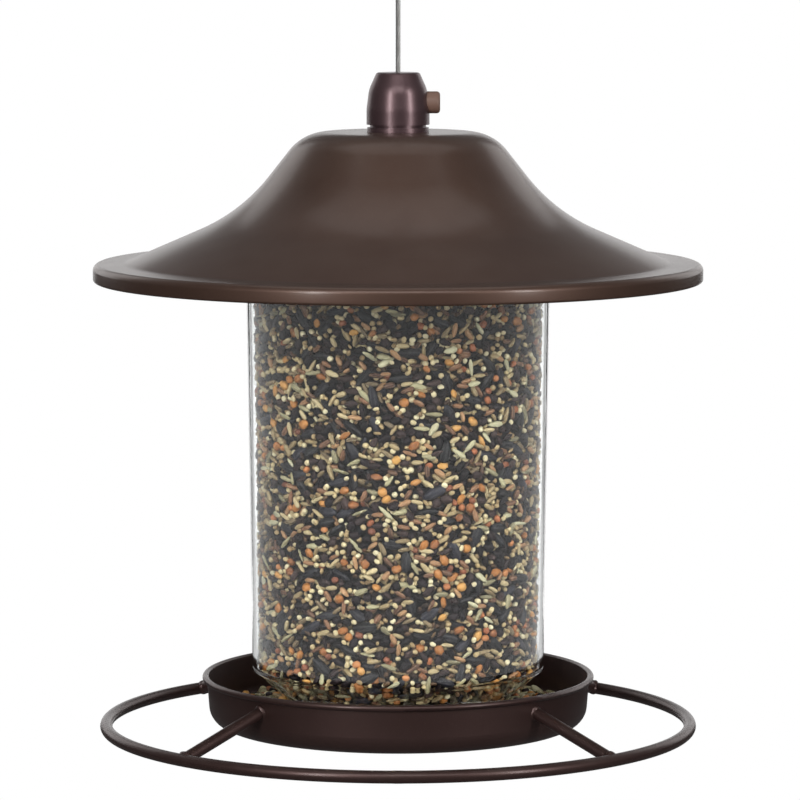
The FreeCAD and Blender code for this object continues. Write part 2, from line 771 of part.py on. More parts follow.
def check_and_write():
    doc.recompute()
    for item in doc.Objects:
        broken = {"Invalid", "Error"} & set(item.State)
        if broken:
            raise RuntimeError(f"{item.Label} is {broken}")
    for part in parts:
        shape = part.Shape
        if shape.isNull() or not shape.isValid() or not shape.Solids:
            raise RuntimeError(f"{part.Label} has no valid solid")
    os.makedirs("parts", exist_ok=True)
    for part in parts:
        part.Shape.exportStep(f"parts/{part.Label}.step")
        print(f"{part.Label}: {part.Shape.Volume / 1000:.2f} cm3")


make_roof()
make_roof_bush()
make_cap()
make_button()
make_button_spring()
make_cable()
make_eyelet()
make_crimp()
make_rod()
make_nut("tray_nut", NUT_BASE)
make_washer("tray_washer", f"({NUT_BASE} + nut_height)")
make_washer("hub_washer", HUB_TOP)
make_nut("hub_nut", HUB_NUT_BASE)
make_reservoir()
make_tray()
make_spreader()
make_perch()
make_seed()
check_and_write()
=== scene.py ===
import math
import random

import bmesh
import bpy
import numpy as np
from bpy.props import FloatProperty, FloatVectorProperty, IntProperty, PointerProperty
from mathutils import Matrix, Vector


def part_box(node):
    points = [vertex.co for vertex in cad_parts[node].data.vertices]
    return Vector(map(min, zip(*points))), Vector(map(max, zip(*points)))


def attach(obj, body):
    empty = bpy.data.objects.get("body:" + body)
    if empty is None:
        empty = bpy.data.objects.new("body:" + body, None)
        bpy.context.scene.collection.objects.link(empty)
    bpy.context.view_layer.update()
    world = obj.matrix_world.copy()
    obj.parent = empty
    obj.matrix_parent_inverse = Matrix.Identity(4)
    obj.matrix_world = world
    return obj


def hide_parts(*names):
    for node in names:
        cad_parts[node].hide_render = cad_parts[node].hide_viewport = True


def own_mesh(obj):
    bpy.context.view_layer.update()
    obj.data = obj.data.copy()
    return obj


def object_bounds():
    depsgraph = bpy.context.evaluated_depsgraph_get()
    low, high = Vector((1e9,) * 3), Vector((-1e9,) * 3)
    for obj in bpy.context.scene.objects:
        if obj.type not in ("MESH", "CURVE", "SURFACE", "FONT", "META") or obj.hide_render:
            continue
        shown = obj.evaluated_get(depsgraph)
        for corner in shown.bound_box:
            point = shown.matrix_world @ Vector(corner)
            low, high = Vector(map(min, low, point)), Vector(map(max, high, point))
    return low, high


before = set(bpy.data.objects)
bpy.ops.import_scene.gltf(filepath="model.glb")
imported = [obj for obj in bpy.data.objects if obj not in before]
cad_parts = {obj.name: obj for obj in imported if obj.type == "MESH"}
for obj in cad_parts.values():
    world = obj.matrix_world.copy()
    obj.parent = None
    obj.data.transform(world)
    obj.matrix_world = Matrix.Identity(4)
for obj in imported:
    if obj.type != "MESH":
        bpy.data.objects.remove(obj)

bl_info = {
    "name": "Hanging Seed Feeder",
    "version": (1, 0, 0),
    "blender": (4, 5, 0),
    "location": "View3D > Sidebar > Feeder",
    "description": "Finishes a hanging bird feeder round its packed frame",
    "category": "Object",
}

CAD_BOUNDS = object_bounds()
FRAME_BODY = "hanging_frame"
CAP_BODY = "cap"
ROOF_BODY = "roof"
UP = Vector((0, 0, 1))
MILLIMETRE = 0.001
BEVEL_SHARE = 0.18      # of a block's thinnest side


# ---- settings --------------------------------------------------------------------------------

def length_setting(name, description, default):
    return FloatProperty(name=name, description=description, default=default, unit="LENGTH",
                         precision=5)


def colour_setting(name, description, default):
    return FloatVectorProperty(name=name, description=description, default=default, size=3,
                               subtype="COLOR", min=0.0, max=1.0)


def share_setting(name, description, default):
    return FloatProperty(name=name, description=description, default=default, subtype="FACTOR",
                         min=0.0, max=1.0)


class FeederMetalSettings(bpy.types.PropertyGroup):
    sheet: length_setting("Sheet", "Thickness of the roof's spun steel", 0.0009)
    hem: length_setting("Hem", "Radius of the rolled edge under the roof's band", 0.0011)
    waist_height: length_setting("Waist", "Height of the roof's waist over its rim", 0.0280)
    waist_gap: length_setting("Waist gap", "How far the waist stands off the reservoir", 0.0018)
    crown_radius: length_setting("Crown", "Radius of the flat crown's corner", 0.0386)
    hole_radius: length_setting("Hole", "Radius of the hole in the crown", 0.00608)
    gutter_width: length_setting("Gutter width", "Width of the flat gutter at the rim", 0.013)
    gutter_height: length_setting("Gutter height", "Height of the gutter over the rim", 0.0073)
    band_height: length_setting("Band", "Height of the turned-down band", 0.0072)
    shoulder_fillet: length_setting("Shoulder", "Radius of the shoulder", 0.020)
    waist_fillet: length_setting("Flare", "Radius of the flare at the waist", 0.074)
    gutter_fillet: length_setting("Gutter fillet", "Radius where flare meets gutter", 0.008)
    rim_fillet: length_setting("Rim fillet", "Radius of the band's upper edge", 0.0026)
    roof_colour: colour_setting("Roof", "Coat colour of the roof", (0.106, 0.060, 0.043))
    cap_colour: colour_setting("Cap", "Coat colour of cap and bush", (0.115, 0.070, 0.076))
    tray_colour: colour_setting("Tray", "Coat colour of tray and perch", (0.070, 0.038, 0.034))
    zinc_colour: colour_setting("Zinc", "Colour of plated hardware", (0.62, 0.61, 0.58))
    spring_wire: length_setting("Spring wire", "Radius of the button spring's wire", 0.0003)
    spring_turns: IntProperty(name="Spring turns", description="Turns of the button's spring",
                              default=4, min=2, max=12)
    button_travel: length_setting("Travel", "How far the button goes in", 0.0025)
    inner_weld: length_setting("Inner weld", "Half length of the bead at the tray", 0.0019)
    outer_weld: length_setting("Outer weld", "Half length of the bead at the ring", 0.0024)
    butt_weld: length_setting("Butt weld", "Half length of the ring's own joint", 0.0042)


class FeederCableSettings(bpy.types.PropertyGroup):
    diameter: length_setting("Diameter", "Diameter of the whole cable", 0.002)
    parting: length_setting("Parting", "Where the legs part, above the crimp", 0.0072)
    leg_spacing: length_setting("Leg spacing", "Distance between the loop's legs", 0.0024)
    groove_radius: length_setting("Groove", "Radius of the eyelet's groove", 0.0088)
    tail: length_setting("Tail", "Cable end that stands out under the crimp", 0.002)
    lay: length_setting("Lay", "Length of one turn of the strands", 0.0095)
    strands: IntProperty(name="Strands", description="Outer strands", default=6, min=3, max=12)
    colour: colour_setting("Colour", "Colour of the galvanised wire", (0.40, 0.40, 0.39))


class FeederReservoirSettings(bpy.types.PropertyGroup):
    wall: length_setting("Wall", "Wall thickness of the clear tube", 0.0016)
    base_radius: length_setting("Base radius", "Outer radius above the hopper", 0.0602)
    hopper_height: length_setting("Hopper", "Top of the hopper above the tray's base", 0.0234)
    mouth_radius: length_setting("Mouth", "Outer radius of the hopper's mouth", 0.0456)
    crease: length_setting("Crease", "Radius of the crease above the hopper", 0.0015)
    hub_radius: length_setting("Hub", "Outer radius of the hub", 0.008)
    hub_bore: length_setting("Hub bore", "Radius of the hole through the hub", 0.00305)
    hub_edge: length_setting("Hub edge", "Radius of the hub's moulded edges", 0.0004)
    hub_height: length_setting("Hub height", "Height of hub and ribs", 0.006)
    hub_drop: length_setting("Hub drop", "How far the hub hangs below the mouth", 0.00075)
    rib_width: length_setting("Rib", "Thickness of the hub's ribs", 0.0024)
    tint: colour_setting("Tint", "Tint of the clear plastic", (0.965, 0.98, 0.975))


class FeederSeedSettings(bpy.types.PropertyGroup):
    seed: IntProperty(name="Random seed", description="Start of the random draws", default=41)
    wall_gap: length_setting("Wall gap", "Space between seed and plastic", 0.0006)
    core_depth: length_setting("Core depth", "Depth of loose seed over the core", 0.0058)
    core_rough: length_setting("Core roughness", "How lumpy the core's surface is", 0.0012)
    rod_radius: length_setting("Rod space", "Inner radius of the seed round the rod", 0.0036)
    lid_drop: length_setting("Lid drop", "Depth of the top grains under the bed's top", 0.001)
    lid_inset: length_setting("Lid inset", "Space between top grains and plastic", 0.003)
    tray_inner: length_setting("Tray inside", "Where loose tray seed ends, inwards", 0.047)
    tray_shelf: length_setting("Tray shelf", "Radius of the tray seed's highest line", 0.0566)
    tray_core: length_setting("Tray core", "Inner radius of the tray's core", 0.0372)
    tray_edge_rise: length_setting("Tray edge", "Height of the seed at the tray's wall", 0.0030)
    tray_dip: length_setting("Tray dip", "How far tray seed lies under its top", 0.0022)
    tray_fall: length_setting("Tray fall", "How far it falls inwards from the shelf", 0.0006)
    tray_gap: length_setting("Tray gap", "Space between tray seed and tray wall", 0.002)
    tray_core_gap: length_setting("Tray core gap", "How far its core's foot stands in", 0.003)
    tray_core_drop: length_setting("Tray core drop", "Depth of its core under the seed", 0.0002)
    fullness: share_setting("Fullness", "Share of the full number of seeds", 1.0)


class FeederStageSettings(bpy.types.PropertyGroup):
    camera_distance: length_setting("Distance", "Camera distance from the axis", 1.910)
    camera_rise: length_setting("Rise", "Camera height over the roof's rim", 0.156)
    camera_aside: length_setting("Aside", "Camera offset to the right", 0.0008)
    camera_pitch: FloatProperty(name="Pitch", description="Downward tilt of the camera",
                                default=math.radians(6.14), subtype="ANGLE")
    lens: FloatProperty(name="Lens", description="Focal length in millimetres", default=210.06)
    floor_drop: length_setting("Floor drop", "Floor distance under the feeder", 0.35)
    floor_half: length_setting("Floor size", "Half the floor's width", 30.0)
    floor_colour: colour_setting("Floor", "Colour of floor and backdrop", (1.0, 1.0, 1.0))


# ---- mesh helpers ----------------------------------------------------------------------------

def corner_of(node, high):
    """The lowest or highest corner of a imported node."""
    return Vector(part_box(node)[1 if high else 0])


def rounded(corners, steps=10):
    """Points of an outline whose corners (across, up, fillet) are rounded by arcs."""
    points = []
    for place, (across, up, fillet) in enumerate(corners):
        here = Vector((across, up))
        before = Vector(corners[place - 1][:2])
        after = Vector(corners[(place + 1) % len(corners)][:2])
        if fillet <= 0:
            points.append(here)
            continue
        back = (before - here).normalized()
        ahead = (after - here).normalized()
        half = back.angle(ahead) / 2
        reach = fillet / math.tan(half)
        centre = here + (back + ahead).normalized() * (fillet / math.sin(half))
        start = here + back * reach - centre
        end = here + ahead * reach - centre
        turn = start.angle_signed(end)
        count = max(3, int(steps * abs(turn)) + 1)
        for step in range(count + 1):
            angle = -turn * step / count
            spin = Matrix.Rotation(angle, 2)
            points.append(centre + spin @ start)
    return points


def offset_inward(points, distance):
    """An open outline moved to its right-hand side by one distance."""
    moved = []
    for place, point in enumerate(points):
        before = points[max(place - 1, 0)]
        after = points[min(place + 1, len(points) - 1)]
        along = (after - before).normalized()
        moved.append(point + Vector((along.y, -along.x)) * distance)
    return moved


def new_object(name, mesh, materials):
    """A mesh as an object in the scene, with its materials."""
    piece = bpy.data.objects.new(name, mesh)
    bpy.context.scene.collection.objects.link(piece)
    for material in materials:
        mesh.materials.append(material)
    return piece


def smooth_shade(mesh, angle=38):
    """Smooth shading, with edges sharper than an angle kept sharp."""
    mesh.shade_smooth()
    mesh.set_sharp_from_angle(angle=math.radians(angle))


def ring_into(builder, sides, spot_at):
    """A ring of corners, each where spot_at puts it for its angle."""
    return [builder.verts.new(spot_at(math.tau * step / sides)) for step in range(sides)]


def join_rings(builder, rings):
    """Faces between each ring and the next."""
    for ring, following in zip(rings, rings[1:]):
        for step in range(len(ring)):
            ahead = (step + 1) % len(ring)
            builder.faces.new((ring[step], ring[ahead], following[ahead], following[step]))


def lathe_into(builder, points, segments):
    """Turn a closed outline round Z in a bmesh."""
    rings = [ring_into(builder, segments, lambda angle, point=point: Vector(
        (point.x * math.cos(angle), point.x * math.sin(angle), point.y))) for point in points]
    join_rings(builder, rings + rings[:1])


def finish_builder(builder, name, materials, angle=38, weld=1e-7):
    """Clean a bmesh and turn it into an object."""
    bmesh.ops.remove_doubles(builder, verts=builder.verts, dist=weld)
    bmesh.ops.dissolve_degenerate(builder, edges=builder.edges, dist=weld)
    bmesh.ops.recalc_face_normals(builder, faces=builder.faces)
    mesh = bpy.data.meshes.new(name)
    builder.to_mesh(mesh)
    builder.free()
    smooth_shade(mesh, angle)
    return new_object(name, mesh, materials)


def turned(name, points, materials, segments=288, angle=38):
    """An object turned round Z from a closed outline."""
    builder = bmesh.new()
    lathe_into(builder, points, segments)
    return finish_builder(builder, name, materials, angle)


def stand_in(piece, body, node):
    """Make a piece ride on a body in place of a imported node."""
    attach(piece, body)
    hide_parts(node)


def block_into(builder, low, high, placing):
    """A box with lightly bevelled edges."""
    made = bmesh.ops.create_cube(builder, size=1.0)
    size = Vector(high) - Vector(low)
    middle = (Vector(high) + Vector(low)) / 2
    for vertex in made["verts"]:
        spot = Vector(a * b for a, b in zip(vertex.co, size)) + middle
        vertex.co = placing @ spot
    edges = list({edge for vertex in made["verts"] for edge in vertex.link_edges})
    bmesh.ops.bevel(builder, geom=edges, offset=min(size) * BEVEL_SHARE, segments=3,
                    affect="EDGES", profile=0.5)


# ---- shader helpers --------------------------------------------------------------------------

class Shader:
    """A material's or group's node tree, with short ways to add and join nodes."""

    def __init__(self, tree):
        self.tree = tree
        self.column = 0

    def add(self, kind, settings=None, **inputs):
        """Add a node, with settings and with inputs by label."""
        made = self.tree.nodes.new(kind)
        made.location = (self.column * 60, (self.column % 5) * -180)
        self.column += 1
        for key, setting in (settings or {}).items():
            setattr(made, key, setting)
        for key, source in inputs.items():
            self.feed(made.inputs[key.replace("_", " ")], source)
        return made

    def feed(self, socket, source):
        """Link a socket to another, or give it a plain value."""
        if isinstance(source, bpy.types.NodeSocket):
            self.tree.links.new(source, socket)
        else:
            socket.default_value = source

    def math(self, operation, first, second=0.5, third=None):
        made = self.tree.nodes.new("ShaderNodeMath")
        made.operation = operation
        self.feed(made.inputs[0], first)
        self.feed(made.inputs[1], second)
        if third is not None:
            self.feed(made.inputs[2], third)
        return made.outputs[0]

    def mix(self, share, first, second, blend="MIX"):
        made = self.tree.nodes.new("ShaderNodeMix")
        made.data_type = "RGBA"
        made.blend_type = blend
        self.feed(made.inputs["Factor"], share)
        self.feed(made.inputs[6], rgba(first))
        self.feed(made.inputs[7], rgba(second))
        return made.outputs[2]

    def ramp(self, source, stops):
        made = self.tree.nodes.new("ShaderNodeValToRGB")
        self.feed(made.inputs[0], source)
        elements = made.color_ramp.elements
        while len(elements) < len(stops):
            elements.new(0.5)
        for element, (place, colour) in zip(elements, stops):
            element.position = place
            element.color = rgba(colour)
        return made.outputs[0]

    def noise(self, vector, scale, detail=3.0, roughness=0.55):
        made = self.add("ShaderNodeTexNoise", Vector=vector, Scale=scale, Detail=detail,
                        Roughness=roughness)
        return made.outputs["Fac"]

    def place(self):
        return self.add("ShaderNodeTexCoord").outputs["Object"]

    def either(self, share, first, second):
        """The first node's light where share is nought, the second's where it is one."""
        mixed = self.tree.nodes.new("ShaderNodeMixShader")
        self.feed(mixed.inputs[0], share)
        self.feed(mixed.inputs[1], first.outputs[0])
        self.feed(mixed.inputs[2], second.outputs[0])
        return mixed


def rgba(colour):
    """A colour, a grey or a socket as a colour input takes it."""
    if isinstance(colour, (bpy.types.NodeSocket, float, int)):
        return colour if isinstance(colour, bpy.types.NodeSocket) else (colour,) * 3 + (1.0,)
    return tuple(colour)[:3] + (1.0,)


def new_group(name, inputs, outputs):
    """A shader node group with named sockets, ready to be filled."""
    tree = bpy.data.node_groups.new(name, "ShaderNodeTree")
    kinds = {"float": "NodeSocketFloat", "colour": "NodeSocketColor",
             "vector": "NodeSocketVector"}
    for label, kind, default in inputs:
        socket = tree.interface.new_socket(label, in_out="INPUT", socket_type=kinds[kind])
        if default is not None:
            socket.default_value = default
    for label, kind in outputs:
        tree.interface.new_socket(label, in_out="OUTPUT", socket_type=kinds[kind])
    shader = Shader(tree)
    source = shader.add("NodeGroupInput")
    sink = shader.add("NodeGroupOutput")
    return shader, source.outputs, sink.inputs


def coat_group():
    """Satin powder coat: fine orange peel, cloudy shade, metallic fleck and settled dust."""
    shader, given, result = new_group(
        "powder_coat",
        [("Vector", "vector", None), ("Colour", "colour", (0.1, 0.07, 0.06, 1)),
         ("Peel", "float", 1500.0), ("Gloss", "float", 0.34), ("Dust", "float", 0.2)],
        [("Colour", "colour"), ("Roughness", "float"), ("Height", "float")])
    cloud = shader.noise(given["Vector"], 16.0, 4.0)
    peel = shader.noise(given["Vector"], given["Peel"], 2.0)
    fleck = shader.add("ShaderNodeTexVoronoi", {"feature": "F1"}, Vector=given["Vector"],
                       Scale=4200.0)
    spark = shader.math("GREATER_THAN", fleck.outputs["Color"], 0.90)
    warm = shader.mix(0.5, given["Colour"], (0.16, 0.075, 0.05), "OVERLAY")
    base = shader.mix(shader.ramp(cloud, [(0.3, 0.0), (0.9, 1.0)]), given["Colour"], warm)
    flecked = shader.mix(shader.math("MULTIPLY", spark, 0.10), base, (0.26, 0.16, 0.12))
    normal = shader.add("ShaderNodeNewGeometry").outputs["Normal"]
    split = shader.add("ShaderNodeSeparateXYZ", Vector=normal)
    facing = shader.math("MULTIPLY", split.outputs["Z"], given["Dust"])
    patch = shader.ramp(shader.noise(given["Vector"], 60.0, 5.0), [(0.42, 0.0), (0.75, 1.0)])
    dust = shader.math("MULTIPLY", shader.math("MAXIMUM", facing, 0.0), patch)
    shader.feed(result["Colour"], shader.mix(dust, flecked, (0.28, 0.24, 0.21)))
    cloudy = shader.math("MULTIPLY_ADD", cloud, 0.12, given["Gloss"])
    shader.feed(result["Roughness"], shader.math("MULTIPLY_ADD", dust, 0.5, cloudy))
    shader.feed(result["Height"], shader.math("MULTIPLY_ADD", cloud, 0.25, peel))
    return shader.tree


def metal_group():
    """Plated or drawn metal: streaks along one axis, blotchy bloom and small stains."""
    shader, given, result = new_group(
        "drawn_metal",
        [("Vector", "vector", None), ("Colour", "colour", (0.6, 0.6, 0.6, 1)),
         ("Stretch", "vector", (1.0, 1.0, 0.05)), ("Gloss", "float", 0.3)],
        [("Colour", "colour"), ("Roughness", "float"), ("Height", "float")])
    long_way = shader.add("ShaderNodeVectorMath", {"operation": "MULTIPLY"})
    shader.feed(long_way.inputs[0], given["Vector"])
    shader.feed(long_way.inputs[1], given["Stretch"])
    streak = shader.noise(long_way.outputs[0], 1800.0, 4.0)
    bloom = shader.noise(given["Vector"], 140.0, 5.0, 0.7)
    stained = shader.ramp(bloom, [(0.38, 0.0), (0.78, 1.0)])
    darker = shader.mix(1.0, given["Colour"], (0.62, 0.58, 0.54), "MULTIPLY")
    shaded = shader.mix(shader.math("MULTIPLY", stained, 0.7), given["Colour"], darker)
    shader.feed(result["Colour"], shader.mix(shader.math("MULTIPLY", streak, 0.25), shaded,
                                             (0.85, 0.85, 0.84)))
    shader.feed(result["Roughness"], shader.math("MULTIPLY_ADD", stained, 0.22, given["Gloss"]))
    shader.feed(result["Height"], streak)
    return shader.tree


def husk_group():
    """Dry seed skin: a tint for each seed, lengthwise stripes, mottling and a dusty bloom."""
    shader, given, result = new_group(
        "seed_skin",
        [("Light", "colour", (0.7, 0.6, 0.4, 1)), ("Middle", "colour", (0.5, 0.4, 0.2, 1)),
         ("Dark", "colour", (0.3, 0.2, 0.1, 1)),
         ("Stripe", "colour", (0.8, 0.75, 0.6, 1)), ("Striping", "float", 0.3),
         ("Stripes", "float", 5.0), ("Bloom", "float", 0.15)],
        [("Colour", "colour"), ("Height", "float"), ("Roughness", "float")])
    tint = shader.add("ShaderNodeAttribute", {"attribute_name": "seed_tint"}).outputs["Fac"]
    local = shader.add("ShaderNodeAttribute", {"attribute_name": "seed_local"}).outputs["Vector"]
    spot = shader.add("ShaderNodeTexCoord").outputs["Object"]
    parts = shader.add("ShaderNodeSeparateXYZ", Vector=local)
    across = shader.math("MULTIPLY", parts.outputs["Y"], given["Stripes"])
    wobble = shader.math("MULTIPLY_ADD", shader.noise(spot, 700.0, 2.0), 1.6, across)
    wave = shader.math("SINE", shader.math("MULTIPLY", wobble, math.pi))
    line = shader.ramp(wave, [(0.55, 0.0), (0.85, 1.0)])
    mottle = shader.noise(spot, 1300.0, 3.0, 0.65)
    shade = shader.math("MULTIPLY_ADD", mottle, 0.3, shader.math("MULTIPLY_ADD", tint, 1.0, -0.15))
    lower = shader.ramp(shade, [(0.0, 0.0), (0.5, 1.0)])
    upper = shader.ramp(shade, [(0.5, 0.0), (1.0, 1.0)])
    body = shader.mix(upper, shader.mix(lower, given["Dark"], given["Middle"]), given["Light"])
    striped = shader.mix(shader.math("MULTIPLY", line, given["Striping"]), body, given["Stripe"])
    pale = shader.ramp(shader.noise(spot, 420.0, 3.0), [(0.5, 0.0), (0.8, 1.0)])
    shader.feed(result["Colour"], shader.mix(shader.math("MULTIPLY", pale, given["Bloom"]),
                                             striped, (0.62, 0.55, 0.42)))
    shader.feed(result["Height"], shader.math("MULTIPLY_ADD", line, 0.4, mottle))
    shader.feed(result["Roughness"], shader.math("MULTIPLY_ADD", mottle, 0.3, 0.38))
    return shader.tree


GROUP_MAKERS = {"powder_coat": coat_group, "drawn_metal": metal_group, "seed_skin": husk_group}


def placed_group(shader, name, **inputs):
    """Outputs of a shared node group placed in a material, built on its first use."""
    tree = bpy.data.node_groups.get(name) or GROUP_MAKERS[name]()
    made = shader.tree.nodes.new("ShaderNodeGroup")
    made.node_tree = tree
    for label, source in inputs.items():
        shader.feed(made.inputs[label], source)
    return made.outputs


def start_material(name):
    """A new material with its shader helper, Principled node and output node."""
    material = bpy.data.materials.new(name)
    material.use_nodes = True
    tree = material.node_tree
    tree.nodes.clear()
    shader = Shader(tree)
    surface = shader.add("ShaderNodeBsdfPrincipled")
    output = shader.add("ShaderNodeOutputMaterial")
    shader.feed(output.inputs["Surface"], surface.outputs[0])
    return material, shader, surface.inputs, output


def bump(shader, surface, height, distance, strength=0.5):
    """Feed a height into a surface's normal."""
    made = shader.add("ShaderNodeBump", Strength=strength, Distance=distance, Height=height)
    shader.feed(surface["Normal"], made.outputs["Normal"])


def named_material(name, maker):
    """A material that is made once and then shared."""
    return bpy.data.materials.get(name) or maker(name)


def coat_material(name, colour, gloss=0.34, peel=1500.0, dust=0.2, metallic=0.68, coat=0.25):
    """Powder-coated steel."""
    material, shader, surface, _ = start_material(name)
    made = placed_group(shader, "powder_coat", Vector=shader.place(), Colour=rgba(colour),
                        Peel=peel, Gloss=gloss, Dust=dust)
    shader.feed(surface["Base Color"], made["Colour"])
    shader.feed(surface["Roughness"], made["Roughness"])
    surface["Metallic"].default_value = metallic
    surface["Coat Weight"].default_value = coat
    surface["Coat Roughness"].default_value = 0.22
    bump(shader, surface, made["Height"], distance=0.00005, strength=0.5)
    return material


def metal_material(name, colour, gloss=0.3, stretch=(1.0, 1.0, 0.05), metallic=1.0):
    """Bare, plated or drawn metal."""
    material, shader, surface, _ = start_material(name)
    made = placed_group(shader, "drawn_metal", Vector=shader.place(), Colour=rgba(colour),
                        Stretch=stretch, Gloss=gloss)
    shader.feed(surface["Base Color"], made["Colour"])
    shader.feed(surface["Roughness"], made["Roughness"])
    surface["Metallic"].default_value = metallic
    bump(shader, surface, made["Height"], distance=0.00003, strength=0.3)
    return material


def plastic_material(name, colour, gloss=0.42):
    """Moulded plastic with a fine spark-eroded grain and flow marks."""
    material, shader, surface, _ = start_material(name)
    spot = shader.place()
    grain = shader.noise(spot, 2400.0, 3.0)
    flow = shader.noise(spot, 90.0, 4.0)
    lighter = tuple(min(1.0, part * 1.5) for part in colour)
    shader.feed(surface["Base Color"], shader.mix(flow, colour, lighter))
    shader.feed(surface["Roughness"], shader.math("MULTIPLY_ADD", grain, 0.2, gloss))
    bump(shader, surface, grain, distance=0.00003, strength=0.5)
    return material


def seed_material(name, light, middle, dark, stripe=(0.8, 0.75, 0.6), striping=0.0, stripes=5.0,
                  bloom=0.12, gloss=0.3):
    """Skin of one kind of seed."""
    material, shader, surface, _ = start_material(name)
    made = placed_group(shader, "seed_skin", Light=rgba(light), Middle=rgba(middle),
                        Dark=rgba(dark), Stripe=rgba(stripe), Striping=striping,
                        Stripes=stripes, Bloom=bloom)
    shader.feed(surface["Base Color"], made["Colour"])
    shader.feed(surface["Roughness"], made["Roughness"])
    surface["Specular IOR Level"].default_value = gloss
    bump(shader, surface, made["Height"], distance=0.0001, strength=0.6)
    return material


def painted_shade_core_material(name):
    """Deep seed seen between the loose ones: cells in the mix's colours darkened with painted
    shade, with more painted shade towards each cell's edge.
    """
    material, shader, surface, _ = start_material(name)
    cells = shader.add("ShaderNodeTexVoronoi", {"feature": "F1"}, Vector=shader.place(),
                       Scale=260.0, Randomness=1.0)
    pick = shader.add("ShaderNodeSeparateColor", Color=cells.outputs["Color"]).outputs[0]
    # Painted shade: the mix's colours darkened, as for deep seed in shadow.
    mix = shader.ramp(pick, [(0.0, (0.008, 0.008, 0.010)), (0.5, (0.02, 0.014, 0.012)),
                             (0.65, (0.08, 0.045, 0.022)), (0.8, (0.12, 0.08, 0.04)),
                             (0.92, (0.2, 0.15, 0.07))])
    # Painted shade: darker towards each cell's edge, in the gaps between seeds.
    edge = shader.ramp(cells.outputs["Distance"], [(0.2, 1.0), (0.75, 0.1)])
    shader.feed(surface["Base Color"], shader.mix(1.0, mix, edge, "MULTIPLY"))
    surface["Roughness"].default_value = 0.8
    bump(shader, surface, edge, distance=0.001, strength=0.9)
    return material


def clear_material(name, tint):
    """Clear moulded plastic that lets lamps through, with faint flow lines."""
    material, shader, surface, output = start_material(name)
    spot = shader.place()
    haze = shader.noise(spot, 25.0, 4.0)
    shader.feed(surface["Base Color"], shader.mix(haze, tint, (0.985, 0.99, 0.99)))
    surface["Roughness"].default_value = 0.0
    surface["Metallic"].default_value = 0.0
    surface["Transmission Weight"].default_value = 1.0
    surface["IOR"].default_value = 1.49
    bump(shader, surface, haze, distance=0.0003, strength=0.12)
    through = shader.add("ShaderNodeBsdfTransparent", Color=rgba(tint))
    lamp = shader.add("ShaderNodeLightPath").outputs["Is Shadow Ray"]
    mixed = shader.either(lamp, shader.tree.nodes["Principled BSDF"], through)
    shader.feed(output.inputs["Surface"], mixed.outputs[0])
    return material


def roof_coat():
    return named_material("bronze_roof_coat", lambda name: coat_material(
        name, bpy.context.scene.feeder_metal.roof_colour, gloss=0.40, dust=0.06, coat=0.5))


def cap_coat():
    return named_material("bronze_cap_coat", lambda name: coat_material(
        name, bpy.context.scene.feeder_metal.cap_colour, gloss=0.30, dust=0.04, coat=0.2,
        peel=900.0))


def tray_coat():
    return named_material("bronze_tray_coat", lambda name: coat_material(
        name, bpy.context.scene.feeder_metal.tray_colour, gloss=0.36, dust=0.15))


def zinc_plate():
    return named_material("zinc_plate", lambda name: metal_material(
        name, bpy.context.scene.feeder_metal.zinc_colour, gloss=0.32))


def repaint(node, material):
    """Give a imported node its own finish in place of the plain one."""
    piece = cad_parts[node]
    piece.data.materials.clear()
    piece.data.materials.append(material)


# ---- camera and cable ------------------------------------------------------------------------

SENSOR_WIDTH = 36.0     # millimetres
FAR_CLIP = 60.0         # metres
DOME_SHARE = 0.25       # height of a wire's domed end, as a share of its radius


class FEEDER_OT_camera(bpy.types.Operator):
    """Place the camera in front of the feeder"""
    bl_idname = "feeder.camera"
    bl_label = "Camera"

    def execute(self, context):
        stage = context.scene.feeder_stage
        data = bpy.data.cameras.new("feeder_camera")
        data.lens = stage.lens
        data.sensor_width = SENSOR_WIDTH
        data.clip_end = FAR_CLIP
        camera = bpy.data.objects.new("feeder_camera", data)
        rim = corner_of("roof", False).z
        camera.location = (stage.camera_aside, -stage.camera_distance, rim + stage.camera_rise)
        camera.rotation_euler = (math.pi / 2 - stage.camera_pitch, 0, 0)
        context.scene.collection.objects.link(camera)
        context.scene.camera = camera
        return {"FINISHED"}


def cable_route(settings):
    """The cable's corner points: up from the coupling, round the eyelet and down again."""
    wrap = settings.groove_radius + settings.diameter / 2
    side = wrap * math.tan(math.pi / 8)
    crimp_top = corner_of("crimp_sleeve", True).z
    crimp_base = corner_of("crimp_sleeve", False).z
    part = crimp_top + settings.parting
    leg = settings.leg_spacing
    start = corner_of("cable_coupling", True).z
    return [
        (0, 0, start),
        (0, 0, part - 6 * settings.diameter),
        (0, 0, part),
        (-wrap, 0, -side),
        (-wrap, 0, side),
        (-side, 0, wrap),
        (side, 0, wrap),
        (wrap, 0, side),
        (wrap, 0, -side),
        (leg, 0, part),
        (leg, 0, crimp_base - settings.tail),
    ]


